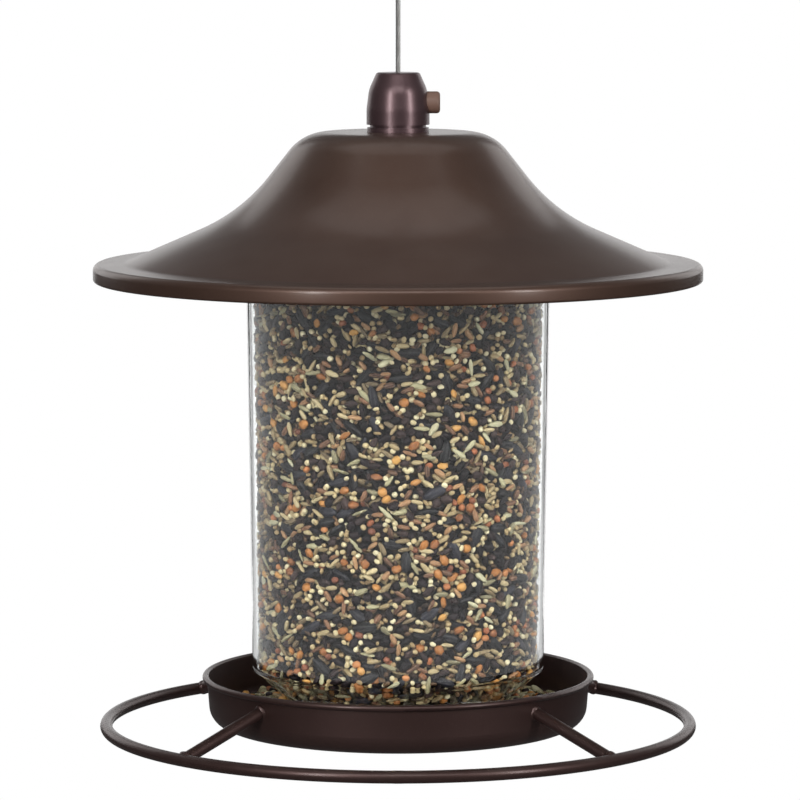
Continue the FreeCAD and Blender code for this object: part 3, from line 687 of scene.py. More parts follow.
def spline_points(route, spacing):
    """Evenly spaced points along the smooth curve of a route."""
    curve = bpy.data.curves.new("cable_route", "CURVE")
    curve.dimensions = "3D"
    spline = curve.splines.new("NURBS")
    spline.points.add(len(route) - 1)
    for point, place in zip(spline.points, route):
        point.co = (*place, 1.0)
    spline.order_u = 3
    spline.use_endpoint_u = True
    spline.resolution_u = 40
    holder = bpy.data.objects.new("cable_route", curve)
    bpy.context.scene.collection.objects.link(holder)
    mesh = bpy.data.meshes.new_from_object(holder)
    dense = [vertex.co.copy() for vertex in mesh.vertices]
    bpy.data.objects.remove(holder)
    bpy.data.meshes.remove(mesh)
    bpy.data.curves.remove(curve)
    lengths = [0.0]
    for before, after in zip(dense, dense[1:]):
        lengths.append(lengths[-1] + (after - before).length)
    count = int(lengths[-1] / spacing)
    points = []
    place = 0
    for step in range(count + 1):
        goal = lengths[-1] * step / count
        while place < len(dense) - 2 and lengths[place + 1] < goal:
            place += 1
        span = lengths[place + 1] - lengths[place]
        share = (goal - lengths[place]) / span if span else 0.0
        points.append(dense[place].lerp(dense[place + 1], share))
    return points, lengths[-1]


def frames_along(points):
    """Along, side and up directions at each point, turned as little as possible."""
    side = Vector((0, 1, 0))
    frames = []
    for place in range(len(points)):
        before = points[max(place - 1, 0)]
        after = points[min(place + 1, len(points) - 1)]
        along = (after - before).normalized()
        side = (side - along * side.dot(along)).normalized()
        frames.append((along, side, along.cross(side)))
    return frames


def tube_into(builder, centres, frames, radius, sides=8):
    """A closed tube with domed ends along a list of centres."""
    rings = []
    for centre, (_, side, other) in zip(centres, frames):
        rings.append(ring_into(builder, sides, lambda angle: centre + (
            side * math.cos(angle) + other * math.sin(angle)) * radius))
    join_rings(builder, rings)
    for place, way in ((0, -1), (-1, 1)):
        ring = rings[place]
        tip = builder.verts.new(
            centres[place] + frames[place][0] * way * radius * DOME_SHARE)
        for step in range(sides):
            ahead = (step + 1) % sides
            corners = (ring[step], ring[ahead], tip)
            builder.faces.new(corners if way > 0 else corners[::-1])


class FEEDER_OT_cable(bpy.types.Operator):
    """Lay the stranded cable along its route and finish its crimp and eyelet"""
    bl_idname = "feeder.cable"
    bl_label = "Cable"

    def execute(self, context):
        settings = context.scene.feeder_cable
        spacing = settings.diameter * 0.3
        points, length = spline_points(cable_route(settings), spacing)
        frames = frames_along(points)
        strand = settings.diameter / 6
        builder = bmesh.new()
        inset = strand * DOME_SHARE
        ends = [point.copy() for point in points]
        ends[0] += frames[0][0] * inset
        ends[-1] -= frames[-1][0] * inset
        tube_into(builder, ends, frames, strand)
        for number in range(settings.strands):
            centres = []
            for step, (point, (_, side, other)) in enumerate(zip(ends, frames)):
                turn = math.tau * (step * spacing / settings.lay + number / settings.strands)
                around = side * math.cos(turn) + other * math.sin(turn)
                centres.append(point + around * strand * 2)
            tube_into(builder, centres, frames, strand)
        material = metal_material("galvanised_wire", settings.colour, gloss=0.36,
                                  stretch=(1.0, 1.0, 0.35))
        cable = finish_builder(builder, "stranded_cable", [material], angle=60, weld=1e-9)
        stand_in(cable, FRAME_BODY, "cable")
        repaint("crimp_sleeve", metal_material(
            "pressed_aluminium", (0.72, 0.72, 0.71), gloss=0.38, stretch=(1.0, 1.0, 0.2)))
        repaint("hanging_eyelet", zinc_plate())
        return {"FINISHED"}


# ---- roof, cap and hardware ------------------------------------------------------------------

def roof_outline(metal):
    """The roof's sheet as a closed outline with its rolled hem."""
    low, high = corner_of("roof", False), corner_of("roof", True)
    radius = high.x
    rim = low.z
    waist = corner_of("reservoir", True).x + metal.waist_gap
    crown = rounded([
        (radius, rim + metal.hem, 0),
        (radius, rim + metal.band_height, metal.rim_fillet),
        (radius - metal.gutter_width, rim + metal.gutter_height, metal.gutter_fillet),
        (waist, rim + metal.waist_height, metal.waist_fillet),
        (metal.crown_radius, high.z, metal.shoulder_fillet),
        (metal.hole_radius, high.z, 0),
    ], steps=26)
    inside = offset_inward(crown, -metal.sheet)
    inside[-1].x = metal.hole_radius
    hem = []
    centre = Vector((radius - metal.hem, rim + metal.hem))
    steps, sweep = 15, math.pi * 1.08
    for step in range(1, steps + 1):
        angle = -sweep * step / steps
        hem.append(centre + Vector((math.cos(angle), math.sin(angle))) * metal.hem)
    return list(reversed(hem)) + crown + list(reversed(inside[1:]))


class FEEDER_OT_roof(bpy.types.Operator):
    """Turn the bell roof with its hem and coat it"""
    bl_idname = "feeder.roof"
    bl_label = "Roof"

    def execute(self, context):
        metal = context.scene.feeder_metal
        roof = turned("bell_roof", roof_outline(metal), [roof_coat()], segments=360)
        stand_in(roof, ROOF_BODY, "roof")
        return {"FINISHED"}


class FEEDER_OT_cap(bpy.types.Operator):
    """Coat the locking cap and its bush, and finish the button and its spring"""
    bl_idname = "feeder.cap"
    bl_label = "Cap and button"

    def execute(self, context):
        repaint("cap_body", cap_coat())
        repaint("roof_bush", cap_coat())
        repaint("lock_button", plastic_material("button_plastic", (0.135, 0.076, 0.056)))
        self.spring(context.scene.feeder_metal)
        return {"FINISHED"}

    def spring(self, metal):
        """The coil is made again, as a wire wound inside the imported spring's box."""
        low, high = corner_of("button_spring", False), corner_of("button_spring", True)
        wire = metal.spring_wire
        radius = (high.z - low.z) / 2 - wire
        middle = (high + low) / 2
        turns, steps = metal.spring_turns, 28
        centres = []
        for step in range(turns * steps + 1):
            share = step / (turns * steps)
            angle = math.tau * turns * share
            across = low.x + wire + (high.x - low.x - 2 * wire) * share
            centres.append(Vector((across, middle.y + radius * math.cos(angle),
                                   middle.z + radius * math.sin(angle))))
        builder = bmesh.new()
        tube_into(builder, centres, frames_along(centres), wire, sides=10)
        steel = metal_material("spring_wire", (0.5, 0.5, 0.5), gloss=0.2)
        spring = finish_builder(builder, "coil_spring", [steel], angle=60, weld=1e-9)
        stand_in(spring, CAP_BODY, "button_spring")
        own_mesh(spring)


class FEEDER_OT_hardware(bpy.types.Operator):
    """Finish the rod, coupling, nuts, washers, clip and spreader"""
    bl_idname = "feeder.hardware"
    bl_label = "Rod and hardware"

    def execute(self, context):
        for node in ("centre_rod", "cable_coupling", "hub_nut", "hub_washer", "tray_nut",
                     "tray_washer", "roof_retaining_clip"):
            repaint(node, zinc_plate())
        repaint("seed_spreader", plastic_material("spreader_plastic", (0.05, 0.033, 0.026)))
        return {"FINISHED"}


# ---- tray and perch --------------------------------------------------------------------------

# Shares of the bar's radius
TRAY_BEAD = 1.36        # girth of the bead of weld at the tray
RING_BEAD = 1.2         # girth of the bead at the ring
RING_BEAD_INSET = 0.75  # distance of that bead from the ring's middle line
TRAY_BEAD_OUTSET = 0.7  # distance of the tray's bead from the spoke's end


def bead_into(builder, centre, along, across, length, rng):
    """A lumpy bead of weld round a bar, its short axis along the bar."""
    placing = Matrix.Translation(centre) @ along.to_track_quat("Z", "Y").to_matrix().to_4x4()
    rows, sides = 12, 24
    phases = [rng.uniform(0, math.tau) for _ in range(3)]
    rings = []
    for row in range(1, rows):
        polar = math.pi * row / rows

        def spot_at(angle):
            lump = 1 + 0.07 * math.sin(3 * angle + phases[0]) + 0.05 * math.sin(
                5 * angle + 2 * polar + phases[1]) + 0.04 * math.sin(4 * polar + phases[2])
            girth = across * math.sin(polar) ** 0.7 * lump
            return placing @ Vector((girth * math.cos(angle), girth * math.sin(angle),
                                     -length * math.cos(polar)))

        rings.append(ring_into(builder, sides, spot_at))
    join_rings(builder, rings)
    for ring in (rings[0], rings[-1]):
        builder.faces.new(ring)


class FEEDER_OT_tray(bpy.types.Operator):
    """Coat the tray, perch ring and spokes and add their welds"""
    bl_idname = "feeder.tray"
    bl_label = "Tray and perch"

    def ring(self, radius, level, bar, coat):
        """The ring of round bar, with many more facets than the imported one."""
        sides = 32
        section = [Vector((radius + bar * math.cos(math.tau * step / sides),
                           level + bar * math.sin(math.tau * step / sides)))
                   for step in range(sides)]
        ring = turned("perch_ring_bar", section, [coat], segments=384, angle=60)
        stand_in(ring, FRAME_BODY, "perch_ring")

    def butt_weld(self, builder, ring_radius, level, bar, half, rng):
        """The ground-down bead where the ring's two ends meet, at the front."""
        sides, rows = 20, 9
        rings = []
        for row in range(rows):
            share = row / (rows - 1) * 2 - 1
            along = half * share
            girth = bar * (0.97 + 0.06 * (1 - share * share) + rng.uniform(-0.008, 0.008))
            turn = -math.pi / 2 + along / ring_radius
            out = Vector((math.cos(turn), math.sin(turn), 0))
            rings.append(ring_into(builder, sides, lambda angle: out * (
                ring_radius + girth * math.cos(angle)) + UP * (level + girth * math.sin(angle))))
        join_rings(builder, rings)
        for ring in (rings[0], rings[-1]):
            builder.faces.new(ring)

    def execute(self, context):
        metal = context.scene.feeder_metal
        coat = tray_coat()
        repaint("tray_pan", coat)
        rng = random.Random(7)
        builder = bmesh.new()
        ring_high, ring_low = corner_of("perch_ring", True), corner_of("perch_ring", False)
        bar = (ring_high.z - ring_low.z) / 2
        ring_radius = ring_high.x - bar
        ring_level = (ring_high.z + ring_low.z) / 2
        for side in ("front_right", "back_right", "back_left", "front_left"):
            node = f"perch_spoke_{side}"
            repaint(node, coat)
            low, high = corner_of(node, False), corner_of(node, True)
            middle = (low + high) / 2
            outward = Vector((middle.x, middle.y, 0)).normalized()
            outer = outward * ring_radius + UP * ring_level
            inner_radius = Vector((min(abs(low.x), abs(high.x)), min(abs(low.y), abs(high.y))))
            inner = outward * (inner_radius.length + bar * TRAY_BEAD_OUTSET) + UP * (high.z - bar)
            along = (outer - inner).normalized()
            bead_into(builder, inner, along, bar * TRAY_BEAD, metal.inner_weld, rng)
            bead_into(builder, outer - along * bar * RING_BEAD_INSET, along, bar * RING_BEAD,
                      metal.outer_weld, rng)
        self.ring(ring_radius, ring_level, bar, coat)
        self.butt_weld(builder, ring_radius, ring_level, bar, metal.butt_weld, rng)
        welds = finish_builder(builder, "perch_welds", [coat], angle=70)
        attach(welds, FRAME_BODY)
        return {"FINISHED"}


# ---- reservoir -------------------------------------------------------------------------------

def wall_outline(settings, inset):
    """Radius and level down the inside of the clear wall, from rim to mouth, set inwards."""
    high = corner_of("reservoir", True)
    base = corner_of("tray_pan", False).z
    wall = settings.wall
    lift = wall / 3
    return [
        Vector((high.x - wall - inset, high.z)),
        Vector((settings.base_radius - wall - inset, base + settings.hopper_height + lift)),
        Vector((settings.mouth_radius - wall - inset, low_of_mouth() + wall + lift)),
    ]


def low_of_mouth():
    """Level of the hopper's mouth, a little above the hub's underside."""
    return corner_of("reservoir", False).z + bpy.context.scene.feeder_reservoir.hub_drop


class FEEDER_OT_reservoir(bpy.types.Operator):
    """Mould the clear reservoir, its hopper and its ribbed hub"""
    bl_idname = "feeder.reservoir"
    bl_label = "Reservoir"

    def execute(self, context):
        settings = context.scene.feeder_reservoir
        high = corner_of("reservoir", True)
        base = corner_of("tray_pan", False).z
        mouth = low_of_mouth()
        wall = settings.wall
        inner = wall_outline(settings, 0.0)
        lip = wall * 0.45
        outline = rounded([
            (high.x, high.z, lip),
            (settings.base_radius, base + settings.hopper_height, settings.crease * 1.3),
            (settings.mouth_radius, mouth + wall, wall * 0.5),
            (settings.mouth_radius, mouth, lip),
            (settings.mouth_radius - wall, mouth, lip),
            (inner[2].x, inner[2].y, wall * 0.4),
            (inner[1].x, inner[1].y, settings.crease * 2.2),
            (inner[0].x, inner[0].y, lip),
        ], steps=8)
        clear = clear_material("clear_plastic", settings.tint)
        tube = turned("clear_reservoir", outline, [clear], segments=320)
        stand_in(tube, FRAME_BODY, "reservoir")
        self.hub(settings, clear)
        return {"FINISHED"}

    def hub(self, settings, clear):
        """The hub with its four ribs."""
        low = corner_of("reservoir", False)
        top = low.z + settings.hub_height
        builder = bmesh.new()
        corners = [(radius, level, settings.hub_edge) for radius, level in (
            (settings.hub_bore, low.z), (settings.hub_radius, low.z),
            (settings.hub_radius, top), (settings.hub_bore, top))]
        lathe_into(builder, rounded(corners, steps=3), 48)
        half = settings.rib_width / 2
        for quarter in range(4):
            spin = Matrix.Rotation(quarter * math.pi / 2, 4, "Z")
            block_into(builder, (settings.hub_radius * 0.97, -half, low.z),
                       (settings.mouth_radius - settings.wall * 0.9, half, top), spin)
        hub = finish_builder(builder, "reservoir_hub", [clear], angle=30)
        stand_in(hub, FRAME_BODY, "reservoir")


# ---- seed ------------------------------------------------------------------------------------

# For each kind: length, width and thickness in millimetres, how far they vary, how pointed the
# tip is, rings and sides of its mesh, and how many balls stand for it when seeds are laid.
SEED_KINDS = {
    "sunflower": ((9.4, 4.7, 3.3), 0.16, 0.55, 7, 9, 3),
    "chip": ((5.0, 3.6, 2.2), 0.30, 0.2, 4, 5, 1),
    "corn": ((4.3, 3.6, 2.5), 0.25, 0.3, 4, 6, 1),
    "milo": ((3.2, 2.9, 2.6), 0.14, 0.1, 5, 8, 1),
    "grain": ((5.6, 2.2, 1.8), 0.20, 0.25, 6, 7, 3),
    "wheat": ((5.2, 2.4, 2.0), 0.18, 0.2, 6, 7, 3),
    "husk": ((6.6, 2.6, 1.4), 0.25, 0.5, 6, 6, 3),
    "crumb": ((2.6, 1.9, 1.4), 0.35, 0.2, 3, 5, 1),
    "millet": ((2.4, 2.2, 2.0), 0.18, 0.05, 5, 7, 1),
}
# For each kind: material, light, middle and dark colour, stripe colour, striping, stripes, bloom
# and specular level.
SEED_SKINS = {
    "sunflower": ("sunflower_skin", (0.020, 0.020, 0.030), (0.007, 0.007, 0.010),
                  (0.003, 0.003, 0.004), (0.11, 0.10, 0.10), 0.30, 3.0, 0.02, 0.25),
    "chip": ("broken_hull_skin", (0.050, 0.030, 0.027), (0.014, 0.009, 0.011),
             (0.004, 0.003, 0.004), (0.08, 0.06, 0.05), 0.1, 2.0, 0.01, 0.15),
    "crumb": ("seed_crumb_skin", (0.46, 0.33, 0.16), (0.10, 0.055, 0.030),
              (0.010, 0.007, 0.008), (0.3, 0.2, 0.12), 0.1, 2.0, 0.04, 0.2),
    "corn": ("cracked_corn_skin", (0.62, 0.33, 0.09), (0.42, 0.16, 0.035),
             (0.22, 0.07, 0.02), (0.8, 0.5, 0.2), 0.1, 2.0, 0.15, 0.3),
    "milo": ("milo_skin", (0.50, 0.20, 0.06), (0.33, 0.095, 0.03),
             (0.14, 0.04, 0.02), (0.6, 0.35, 0.2), 0.1, 2.0, 0.08, 0.4),
    "grain": ("grain_skin", (0.56, 0.45, 0.25), (0.30, 0.215, 0.10),
              (0.09, 0.055, 0.028), (0.66, 0.56, 0.36), 0.5, 4.0, 0.10, 0.25),
    "wheat": ("wheat_skin", (0.42, 0.235, 0.11), (0.20, 0.088, 0.042),
              (0.06, 0.024, 0.016), (0.56, 0.38, 0.22), 0.3, 3.0, 0.08, 0.3),
    "husk": ("husk_skin", (0.56, 0.53, 0.34), (0.36, 0.32, 0.17),
             (0.14, 0.12, 0.06), (0.66, 0.62, 0.46), 0.5, 5.0, 0.12, 0.2),
    "millet": ("millet_skin", (0.76, 0.68, 0.44), (0.58, 0.46, 0.24),
               (0.30, 0.19, 0.08), (0.9, 0.8, 0.5), 0.05, 2.0, 0.1, 0.5),
}
# For each layer, in laying order: kind, tries, how near two seeds may come as a share of their
# radii, and the greatest depth in metres.
LAYERS = {
    "wall": (
        ("corn", 300, 0.90, 0.0008), ("sunflower", 600, 0.92, 0.0016),
        ("chip", 2300, 0.84, 0.0010), ("wheat", 1500, 0.86, 0.0012),
        ("grain", 3300, 0.84, 0.0012), ("husk", 2100, 0.84, 0.0010),
        ("milo", 1900, 0.88, 0.0010), ("crumb", 5000, 0.84, 0.0012),
        ("millet", 11000, 0.84, 0.0018)),
    "behind": (
        ("sunflower", 2200, 0.84, 0.0040), ("chip", 4200, 0.80, 0.0036),
        ("grain", 3000, 0.78, 0.0034), ("wheat", 2000, 0.78, 0.0034),
        ("milo", 1200, 0.82, 0.0028), ("millet", 12000, 0.84, 0.0032)),
    "lid": (
        ("sunflower", 420, 0.85, 0.0008), ("chip", 500, 0.85, 0.0008),
        ("grain", 700, 0.82, 0.0008), ("wheat", 400, 0.82, 0.0008),
        ("milo", 260, 0.85, 0.0006), ("corn", 120, 0.85, 0.0006),
        ("millet", 2600, 0.85, 0.0010)),
    "tray": (
        ("corn", 130, 0.84, 0.0012), ("husk", 700, 0.78, 0.0014),
        ("wheat", 420, 0.80, 0.0012), ("grain", 700, 0.80, 0.0013),
        ("sunflower", 130, 0.80, 0.0006), ("chip", 420, 0.78, 0.0008),
        ("milo", 200, 0.82, 0.0008), ("crumb", 1500, 0.80, 0.0010),
        ("millet", 1100, 0.84, 0.0010)),
}
ANY_WAY = 2.0               # spread of the grains' turn in radians, where nothing lays them level
MOST_TRIANGLES = 190000     # in one piece of seed
CORE_SPACING = 0.006        # between the rows of a core's corners, in metres


def seed_shape(kind):
    """Unit seed, from -1 to 1 on each axis: points, quads as corner indices, tip and tail."""
    point, rings, sides = SEED_KINDS[kind][2:5]
    spots = [(-1.0, 0.0, 0.0)]
    for ring in range(rings):
        angle = math.pi * (ring + 1) / (rings + 1)
        along = -math.cos(angle)
        girth = math.sin(angle) ** 0.85 * (1 - point * 0.5 * (along + 0.35))
        for side in range(sides):
            turn = math.tau * (side + 0.5 * (ring % 2)) / sides
            spots.append((along, girth * math.cos(turn), girth * math.sin(turn)))
    spots.append((1.0, 0.0, 0.0))
    faces = []
    for side in range(sides):
        faces.append((0, 1 + (side + 1) % sides, 1 + side))
        last = 1 + (rings - 1) * sides
        faces.append((len(spots) - 1, last + side, last + (side + 1) % sides))
    for ring in range(rings - 1):
        first = 1 + ring * sides
        for side in range(sides):
            ahead = (side + 1) % sides
            faces.append((first + side, first + ahead, first + sides + ahead,
                          first + sides + side))
    return np.array(spots), faces


class SeedBed:
    """Drops seeds one by one where they touch no earlier one more than a little."""

    def __init__(self, rng, cell=0.0045):
        self.rng = rng
        self.cell = cell
        self.cells = {}
        self.placed = {kind: [] for kind in SEED_KINDS}

    def balls(self, kind, centre, axes, sizes):
        """Balls that roughly fill a seed, to keep the others off it."""
        radius = (sizes[1] + sizes[2]) / 2
        if SEED_KINDS[kind][5] == 1:
            return [(centre, (sizes[0] + sizes[1] + sizes[2]) / 3)]
        reach = sizes[0] - radius
        return [(centre + axes[0] * reach * side, radius * (1.0 if side == 0 else 0.8))
                for side in (-0.85, 0, 0.85)]

    def clear(self, balls, overlap):
        """Whether balls keep off those already laid, by the overlap share of their radii."""
        for centre, radius in balls:
            home = [int(math.floor(part / self.cell)) for part in centre]
            for across in (-1, 0, 1):
                for ahead in (-1, 0, 1):
                    for up in (-1, 0, 1):
                        key = (home[0] + across, home[1] + ahead, home[2] + up)
                        for x, y, z, other in self.cells.get(key, ()):
                            apart = ((centre[0] - x) ** 2 + (centre[1] - y) ** 2
                                     + (centre[2] - z) ** 2)
                            limit = (radius + other) * overlap
                            if apart < limit * limit:
                                return False
        return True

    def drop(self, kind, spot, inward, level_way, lie, overlap, lift=0.0):
        """Lay one seed against a surface point whose depth direction is inward."""
        full, spread = SEED_KINDS[kind][:2]
        rng = self.rng
        sizes = [size / 2 * MILLIMETRE * (1 + rng.uniform(-1, 1) * spread) for size in full]
        upright = np.cross(inward, level_way)
        swing = rng.gauss(0, lie)
        tilt = rng.gauss(0, 0.16)
        long_axis = level_way * math.cos(swing) + upright * math.sin(swing)
        long_axis = long_axis * math.cos(tilt) + inward * math.sin(tilt)
        if rng.random() < 0.5:
            long_axis = -long_axis
        roll = rng.gauss(0, 0.4) if rng.random() < 0.8 else rng.uniform(-1.5, 1.5)
        flat = np.cross(long_axis, inward)
        flat = flat / np.linalg.norm(flat)
        thick = np.cross(long_axis, flat)
        width_axis = flat * math.cos(roll) + thick * math.sin(roll)
        thick_axis = np.cross(long_axis, width_axis)
        axes = (long_axis, width_axis, thick_axis)
        depth = math.sqrt(sum((size * float(axis @ inward)) ** 2
                              for size, axis in zip(sizes, axes)))
        centre = spot + inward * (depth + lift)
        balls = self.balls(kind, centre, axes, sizes)
        if not self.clear(balls, overlap):
            return False
        for middle, radius in balls:
            key = tuple(int(math.floor(part / self.cell)) for part in middle)
            self.cells.setdefault(key, []).append((*middle, radius))
        self.placed[kind].append((centre, axes, sizes, rng.random()))
        return True

    def pieces(self, prefix, materials):
        """One mesh object for each kind of seed that was placed, or more where there are many."""
        made = []
        for kind, seeds in self.placed.items():
            most = MOST_TRIANGLES // sum(len(face) - 2 for face in seed_shape(kind)[1])
            for first in range(0, len(seeds), most):
                name = f"{prefix}_{kind}" + ("_more" if first else "")
                made.append(seed_object(name, kind, seeds[first:first + most], materials[kind]))
        return made


def seed_object(name, kind, seeds, material):
    """One mesh of many like seeds, each with its own tint and its place on the seed."""
    shape, faces = seed_shape(kind)
    count = len(shape)
    centres = np.array([seed[0] for seed in seeds])
    turns = np.array([[axis * size for axis, size in zip(seed[1], seed[2])] for seed in seeds])
    points = np.einsum("vk,nkc->nvc", shape, turns) + centres[:, None, :]
    corners = np.concatenate([np.array(face) for face in faces])
    sizes = np.array([len(face) for face in faces])
    shifts = np.arange(len(seeds)) * count
    loops = (corners[None, :] + shifts[:, None]).ravel()
    totals = np.tile(sizes, len(seeds))
    starts = np.concatenate([[0], np.cumsum(totals)[:-1]])
    mesh = bpy.data.meshes.new(name)
    mesh.vertices.add(points.shape[0] * count)
    mesh.vertices.foreach_set("co", points.astype(np.float32).ravel())
    mesh.loops.add(len(loops))
    mesh.loops.foreach_set("vertex_index", loops.astype(np.int32))
    mesh.polygons.add(len(totals))
    mesh.polygons.foreach_set("loop_start", starts.astype(np.int32))
    mesh.update(calc_edges=True)
    local = mesh.attributes.new("seed_local", "FLOAT_VECTOR", "POINT")
    local.data.foreach_set("vector", np.tile(shape, (len(seeds), 1)).astype(np.float32).ravel())
    tint = mesh.attributes.new("seed_tint", "FLOAT", "POINT")
    tints = np.repeat(np.array([seed[3] for seed in seeds]), count)
    tint.data.foreach_set("value", tints.astype(np.float32))
    mesh.validate()
    mesh.shade_smooth()
    return new_object(name, mesh, [material])


def seed_materials():
    """A material for each kind of seed."""
    return {kind: seed_material(*skin) for kind, skin in SEED_SKINS.items()}


def along_outline(outline, share):
    """Point and direction on an outline at a share of its length."""
    spans = [(after - before).length for before, after in zip(outline, outline[1:])]
    goal = share * sum(spans)
    for before, after, span in zip(outline, outline[1:], spans):
        if goal <= span or after is outline[-1]:
            way = (after - before).normalized()
            return before + way * min(goal, span), way
        goal -= span
    return outline[-1], way


def scatter(bed, outline, layer, fullness, lie=0.75):
    """Drop a layer of seeds over a surface turned from an outline, kind by kind."""
    rng = bed.rng
    widest = max(point.x for point in outline)
    for kind, tries, overlap, deepest in LAYERS[layer]:
        for _ in range(int(tries * fullness)):
            point, way = along_outline(outline, rng.random())
            turn = rng.uniform(0, math.tau)
            lift = rng.uniform(0, deepest)
            if rng.random() > point.x / widest:
                continue
            cosine, sine = math.cos(turn), math.sin(turn)
            across = Vector((way.y, -way.x))
            inward = np.array([across.x * cosine, across.x * sine, across.y])
            level_way = np.array([-sine, cosine, 0.0])
            spot = np.array([point.x * cosine, point.x * sine, point.y])
            bed.drop(kind, spot, inward, level_way, lie, overlap, lift)


def lumpy_lathe(name, outline, material, rng, rough):
    """A turned solid with its surface pushed about, for the seed behind the seed."""
    builder = bmesh.new()
    dense = []
    for before, after in zip(outline, outline[1:] + outline[:1]):
        count = max(1, int((after - before).length / CORE_SPACING))
        dense += [before.lerp(after, step / count) for step in range(count)]
    lathe_into(builder, dense, segments=120)
    for vertex in builder.verts:
        flat = Vector((vertex.co.x, vertex.co.y, 0))
        vertex.co -= flat.normalized() * rng.uniform(0, rough)
    return finish_builder(builder, name, [material], angle=80)


class FEEDER_OT_seed(bpy.types.Operator):
    """Fill the reservoir and the tray with loose mixed seed"""
    bl_idname = "feeder.seed"
    bl_label = "Seed"

    def execute(self, context):
        settings = context.scene.feeder_seed
        rng = random.Random(settings.seed)
        materials = seed_materials()
        core = painted_shade_core_material("deep_seed_painted_shade")
        inside = wall_outline(context.scene.feeder_reservoir, settings.wall_gap)
        self.fill_reservoir(settings, inside, rng, materials, core)
        self.fill_tray(settings, rng, materials, core)
        return {"FINISHED"}

    def settle(self, pieces, node):
        """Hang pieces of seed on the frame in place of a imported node."""
        for piece in pieces:
            stand_in(piece, FRAME_BODY, node)

    def fill_reservoir(self, settings, inside, rng, materials, core):
        """Seed against the clear wall, more behind it, grains on top and a core within."""
        low, high = corner_of("seed_fill", False), corner_of("seed_fill", True)
        rim, knee, mouth = inside
        top = knee.lerp(rim, (high.z - knee.y) / (rim.y - knee.y))
        foot = mouth.lerp(knee, max(0.0, (low.z - mouth.y) / (knee.y - mouth.y)))
        rod, depth = settings.rod_radius, settings.core_depth
        bed = SeedBed(rng)
        for layer in ("wall", "behind"):
            scatter(bed, [top, knee, foot], layer, settings.fullness)
        level = top.y - settings.lid_drop
        lid = [Vector((rod, level)), Vector((top.x - settings.lid_inset, level))]
        scatter(bed, lid, "lid", settings.fullness, lie=ANY_WAY)
        body = lumpy_lathe("reservoir_deep_seed", [
            Vector((rod, foot.y)),
            Vector((foot.x - depth, foot.y)),
            Vector((knee.x - depth, knee.y - depth * 0.3)),
            Vector((top.x - depth, top.y - depth)),
            Vector((rod, top.y - depth)),
        ], core, rng, settings.core_rough)
        self.settle(bed.pieces("reservoir", materials) + [body], "seed_fill")

    def fill_tray(self, settings, rng, materials, core):
        """Seed that slopes down to the tray's wall, over a core just under it."""
        low, high = corner_of("tray_seed", False), corner_of("tray_seed", True)
        inner, shelf = settings.tray_inner, settings.tray_shelf
        outer = high.x - settings.tray_gap
        edge = low.z + settings.tray_edge_rise
        top = high.z - settings.tray_dip
        fallen = top - settings.tray_fall
        slope = [Vector((outer, edge)), Vector((shelf, top)), Vector((inner, fallen))]
        bed = SeedBed(rng)
        scatter(bed, slope, "tray", settings.fullness, lie=ANY_WAY)
        under = settings.tray_core_drop
        body = lumpy_lathe("tray_deep_seed", [
            Vector((settings.tray_core, low.z)),
            Vector((outer - settings.tray_core_gap, low.z)),
            Vector((outer, edge - under)),
            Vector((shelf, top - under)),
            Vector((inner, fallen - under)),
            Vector((settings.tray_core, fallen - under)),
        ], core, rng, settings.core_rough / 3)
        self.settle(bed.pieces("tray", materials) + [body], "tray_seed")


# ---- stage -----------------------------------------------------------------------------------

SOFT_AIR = 0.22         # strength of the air's light on the feeder
MIRRORED_AIR = 0.12     # and as its gloss mirrors it
LAMPS = {
    # place and size in metres from the feeder's middle; power in watts
    "key_left": {"place": (-1.0, -1.7, 0.45), "size": (0.24, 1.1), "power": 17.0},
    "key_right": {"place": (1.40, -1.3, 0.45), "size": (0.24, 1.1), "power": 15.0},
    "overhead": {"place": (0.0, 0.2, 1.7), "size": (1.8, 1.2), "power": 5.0},
    "front_high": {"place": (0.0, -1.7, 1.25), "size": (1.8, 0.6), "power": 12.0},
    "side_left": {"place": (-1.15, 1.45, 0.5), "size": (1.0, 1.2), "power": 4.5},
    "side_right": {"place": (1.15, 1.45, 0.5), "size": (1.0, 1.2), "power": 4.5},
    "behind": {"place": (0.0, 2.2, 0.05), "size": (1.6, 1.15), "power": 7.0},
}


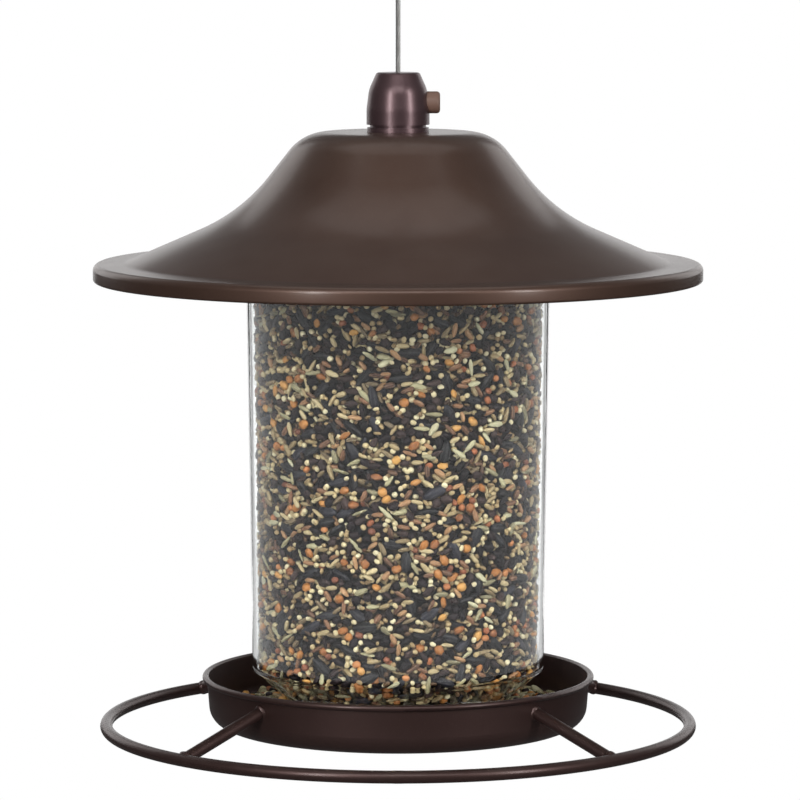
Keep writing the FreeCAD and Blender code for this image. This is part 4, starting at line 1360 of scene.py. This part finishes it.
class FEEDER_OT_stage(bpy.types.Operator):
    """Lay the pale floor and hang the soft studio lights"""
    bl_idname = "feeder.stage"
    bl_label = "Stage"

    def execute(self, context):
        scene = context.scene
        scene.view_settings.view_transform = "Standard"
        self.floor(scene.feeder_stage)
        self.sky(scene)
        middle = (Vector(CAD_BOUNDS[0]) + Vector(CAD_BOUNDS[1])) / 2
        for name, about in LAMPS.items():
            data = bpy.data.lights.new(name, "AREA")
            data.shape = "RECTANGLE"
            data.size, data.size_y = about["size"]
            data.energy = about["power"]
            lamp = bpy.data.objects.new(name, data)
            lamp.location = Vector(about["place"]) + middle
            lamp.rotation_euler = (middle - lamp.location).to_track_quat("-Z", "Y").to_euler()
            scene.collection.objects.link(lamp)
        return {"FINISHED"}

    def straight_on(self, shader):
        """One for rays that come straight or through clear plastic, to keep the backdrop white."""
        path = shader.add("ShaderNodeLightPath").outputs
        entered = shader.math("GREATER_THAN", path["Transmission Depth"], 0.5)
        clear = shader.math("MULTIPLY", entered, path["Is Singular Ray"])
        return shader.math("MAXIMUM", path["Is Camera Ray"], clear)

    def floor(self, stage):
        """Pale from above and clear from below, so that the underside can be looked at."""
        level = CAD_BOUNDS[0][2] - stage.floor_drop
        builder = bmesh.new()
        bmesh.ops.create_grid(builder, x_segments=8, y_segments=8, size=stage.floor_half)
        bmesh.ops.translate(builder, verts=builder.verts, vec=(0, 0, level))
        material, shader, surface, output = start_material("pale_floor")
        tone = shader.noise(shader.place(), 0.6, 2.0)
        pale = shader.mix(tone, (0.62, 0.62, 0.62), (0.56, 0.56, 0.56))
        mirrored = shader.add("ShaderNodeLightPath").outputs["Is Glossy Ray"]
        shader.feed(surface["Base Color"], shader.mix(mirrored, pale, (0.10, 0.10, 0.10)))
        surface["Roughness"].default_value = 0.9
        glow = shader.add("ShaderNodeEmission", Color=rgba(stage.floor_colour), Strength=1.0)
        seen = self.straight_on(shader)
        shown = shader.either(seen, shader.tree.nodes["Principled BSDF"], glow)
        under = shader.add("ShaderNodeNewGeometry").outputs["Backfacing"]
        hidden = shader.add("ShaderNodeBsdfTransparent")
        shader.feed(output.inputs["Surface"], shader.either(under, shown, hidden).outputs[0])
        floor = finish_builder(builder, "studio_floor", [material])
        if floor.data.polygons[0].normal.z < 0:
            floor.data.flip_normals()

    def sky(self, scene):
        world = bpy.data.worlds.new("studio_air")
        scene.world = world
        world.use_nodes = True
        tree = world.node_tree
        tree.nodes.clear()
        shader = Shader(tree)
        seen = self.straight_on(shader)
        mirrored = shader.add("ShaderNodeLightPath").outputs["Is Glossy Ray"]
        strength = shader.math("MULTIPLY_ADD", mirrored, MIRRORED_AIR - SOFT_AIR, SOFT_AIR)
        soft = shader.add("ShaderNodeBackground", Color=(0.97, 0.98, 1.0, 1.0), Strength=strength)
        white = shader.add("ShaderNodeBackground", Color=(1.0, 1.0, 1.0, 1.0), Strength=1.0)
        output = shader.add("ShaderNodeOutputWorld")
        shader.feed(output.inputs["Surface"], shader.either(seen, soft, white).outputs[0])


# ---- panel and registration ------------------------------------------------------------------

STEPS = ("camera", "cable", "roof", "cap", "hardware", "tray", "reservoir", "seed", "stage")


class FEEDER_PT_panel(bpy.types.Panel):
    """Lists the feeder's steps and sizes"""
    bl_idname = "FEEDER_PT_panel"
    bl_label = "Seed feeder"
    bl_space_type = "VIEW_3D"
    bl_region_type = "UI"
    bl_category = "Feeder"

    def draw(self, context):
        for step in STEPS:
            self.layout.operator(f"feeder.{step}")
        for label in SETTINGS:
            group = getattr(context.scene, label)
            for name in group.bl_rna.properties.keys():
                if name not in ("rna_type", "name"):
                    self.layout.prop(group, name)


SETTINGS = {
    "feeder_metal": FeederMetalSettings,
    "feeder_cable": FeederCableSettings,
    "feeder_reservoir": FeederReservoirSettings,
    "feeder_seed": FeederSeedSettings,
    "feeder_stage": FeederStageSettings,
}
CLASSES = (
    *SETTINGS.values(), FEEDER_OT_camera, FEEDER_OT_cable, FEEDER_OT_roof, FEEDER_OT_cap,
    FEEDER_OT_hardware, FEEDER_OT_tray, FEEDER_OT_reservoir, FEEDER_OT_seed, FEEDER_OT_stage,
    FEEDER_PT_panel,
)


def register():
    for item in CLASSES:
        bpy.utils.register_class(item)
    for label, group in SETTINGS.items():
        setattr(bpy.types.Scene, label, PointerProperty(type=group))


def unregister():
    for label in SETTINGS:
        delattr(bpy.types.Scene, label)
    for item in reversed(CLASSES):
        bpy.utils.unregister_class(item)


def main():
    register()
    for step in STEPS:
        getattr(bpy.ops.feeder, step)()


if __name__ == "__main__":
    main()
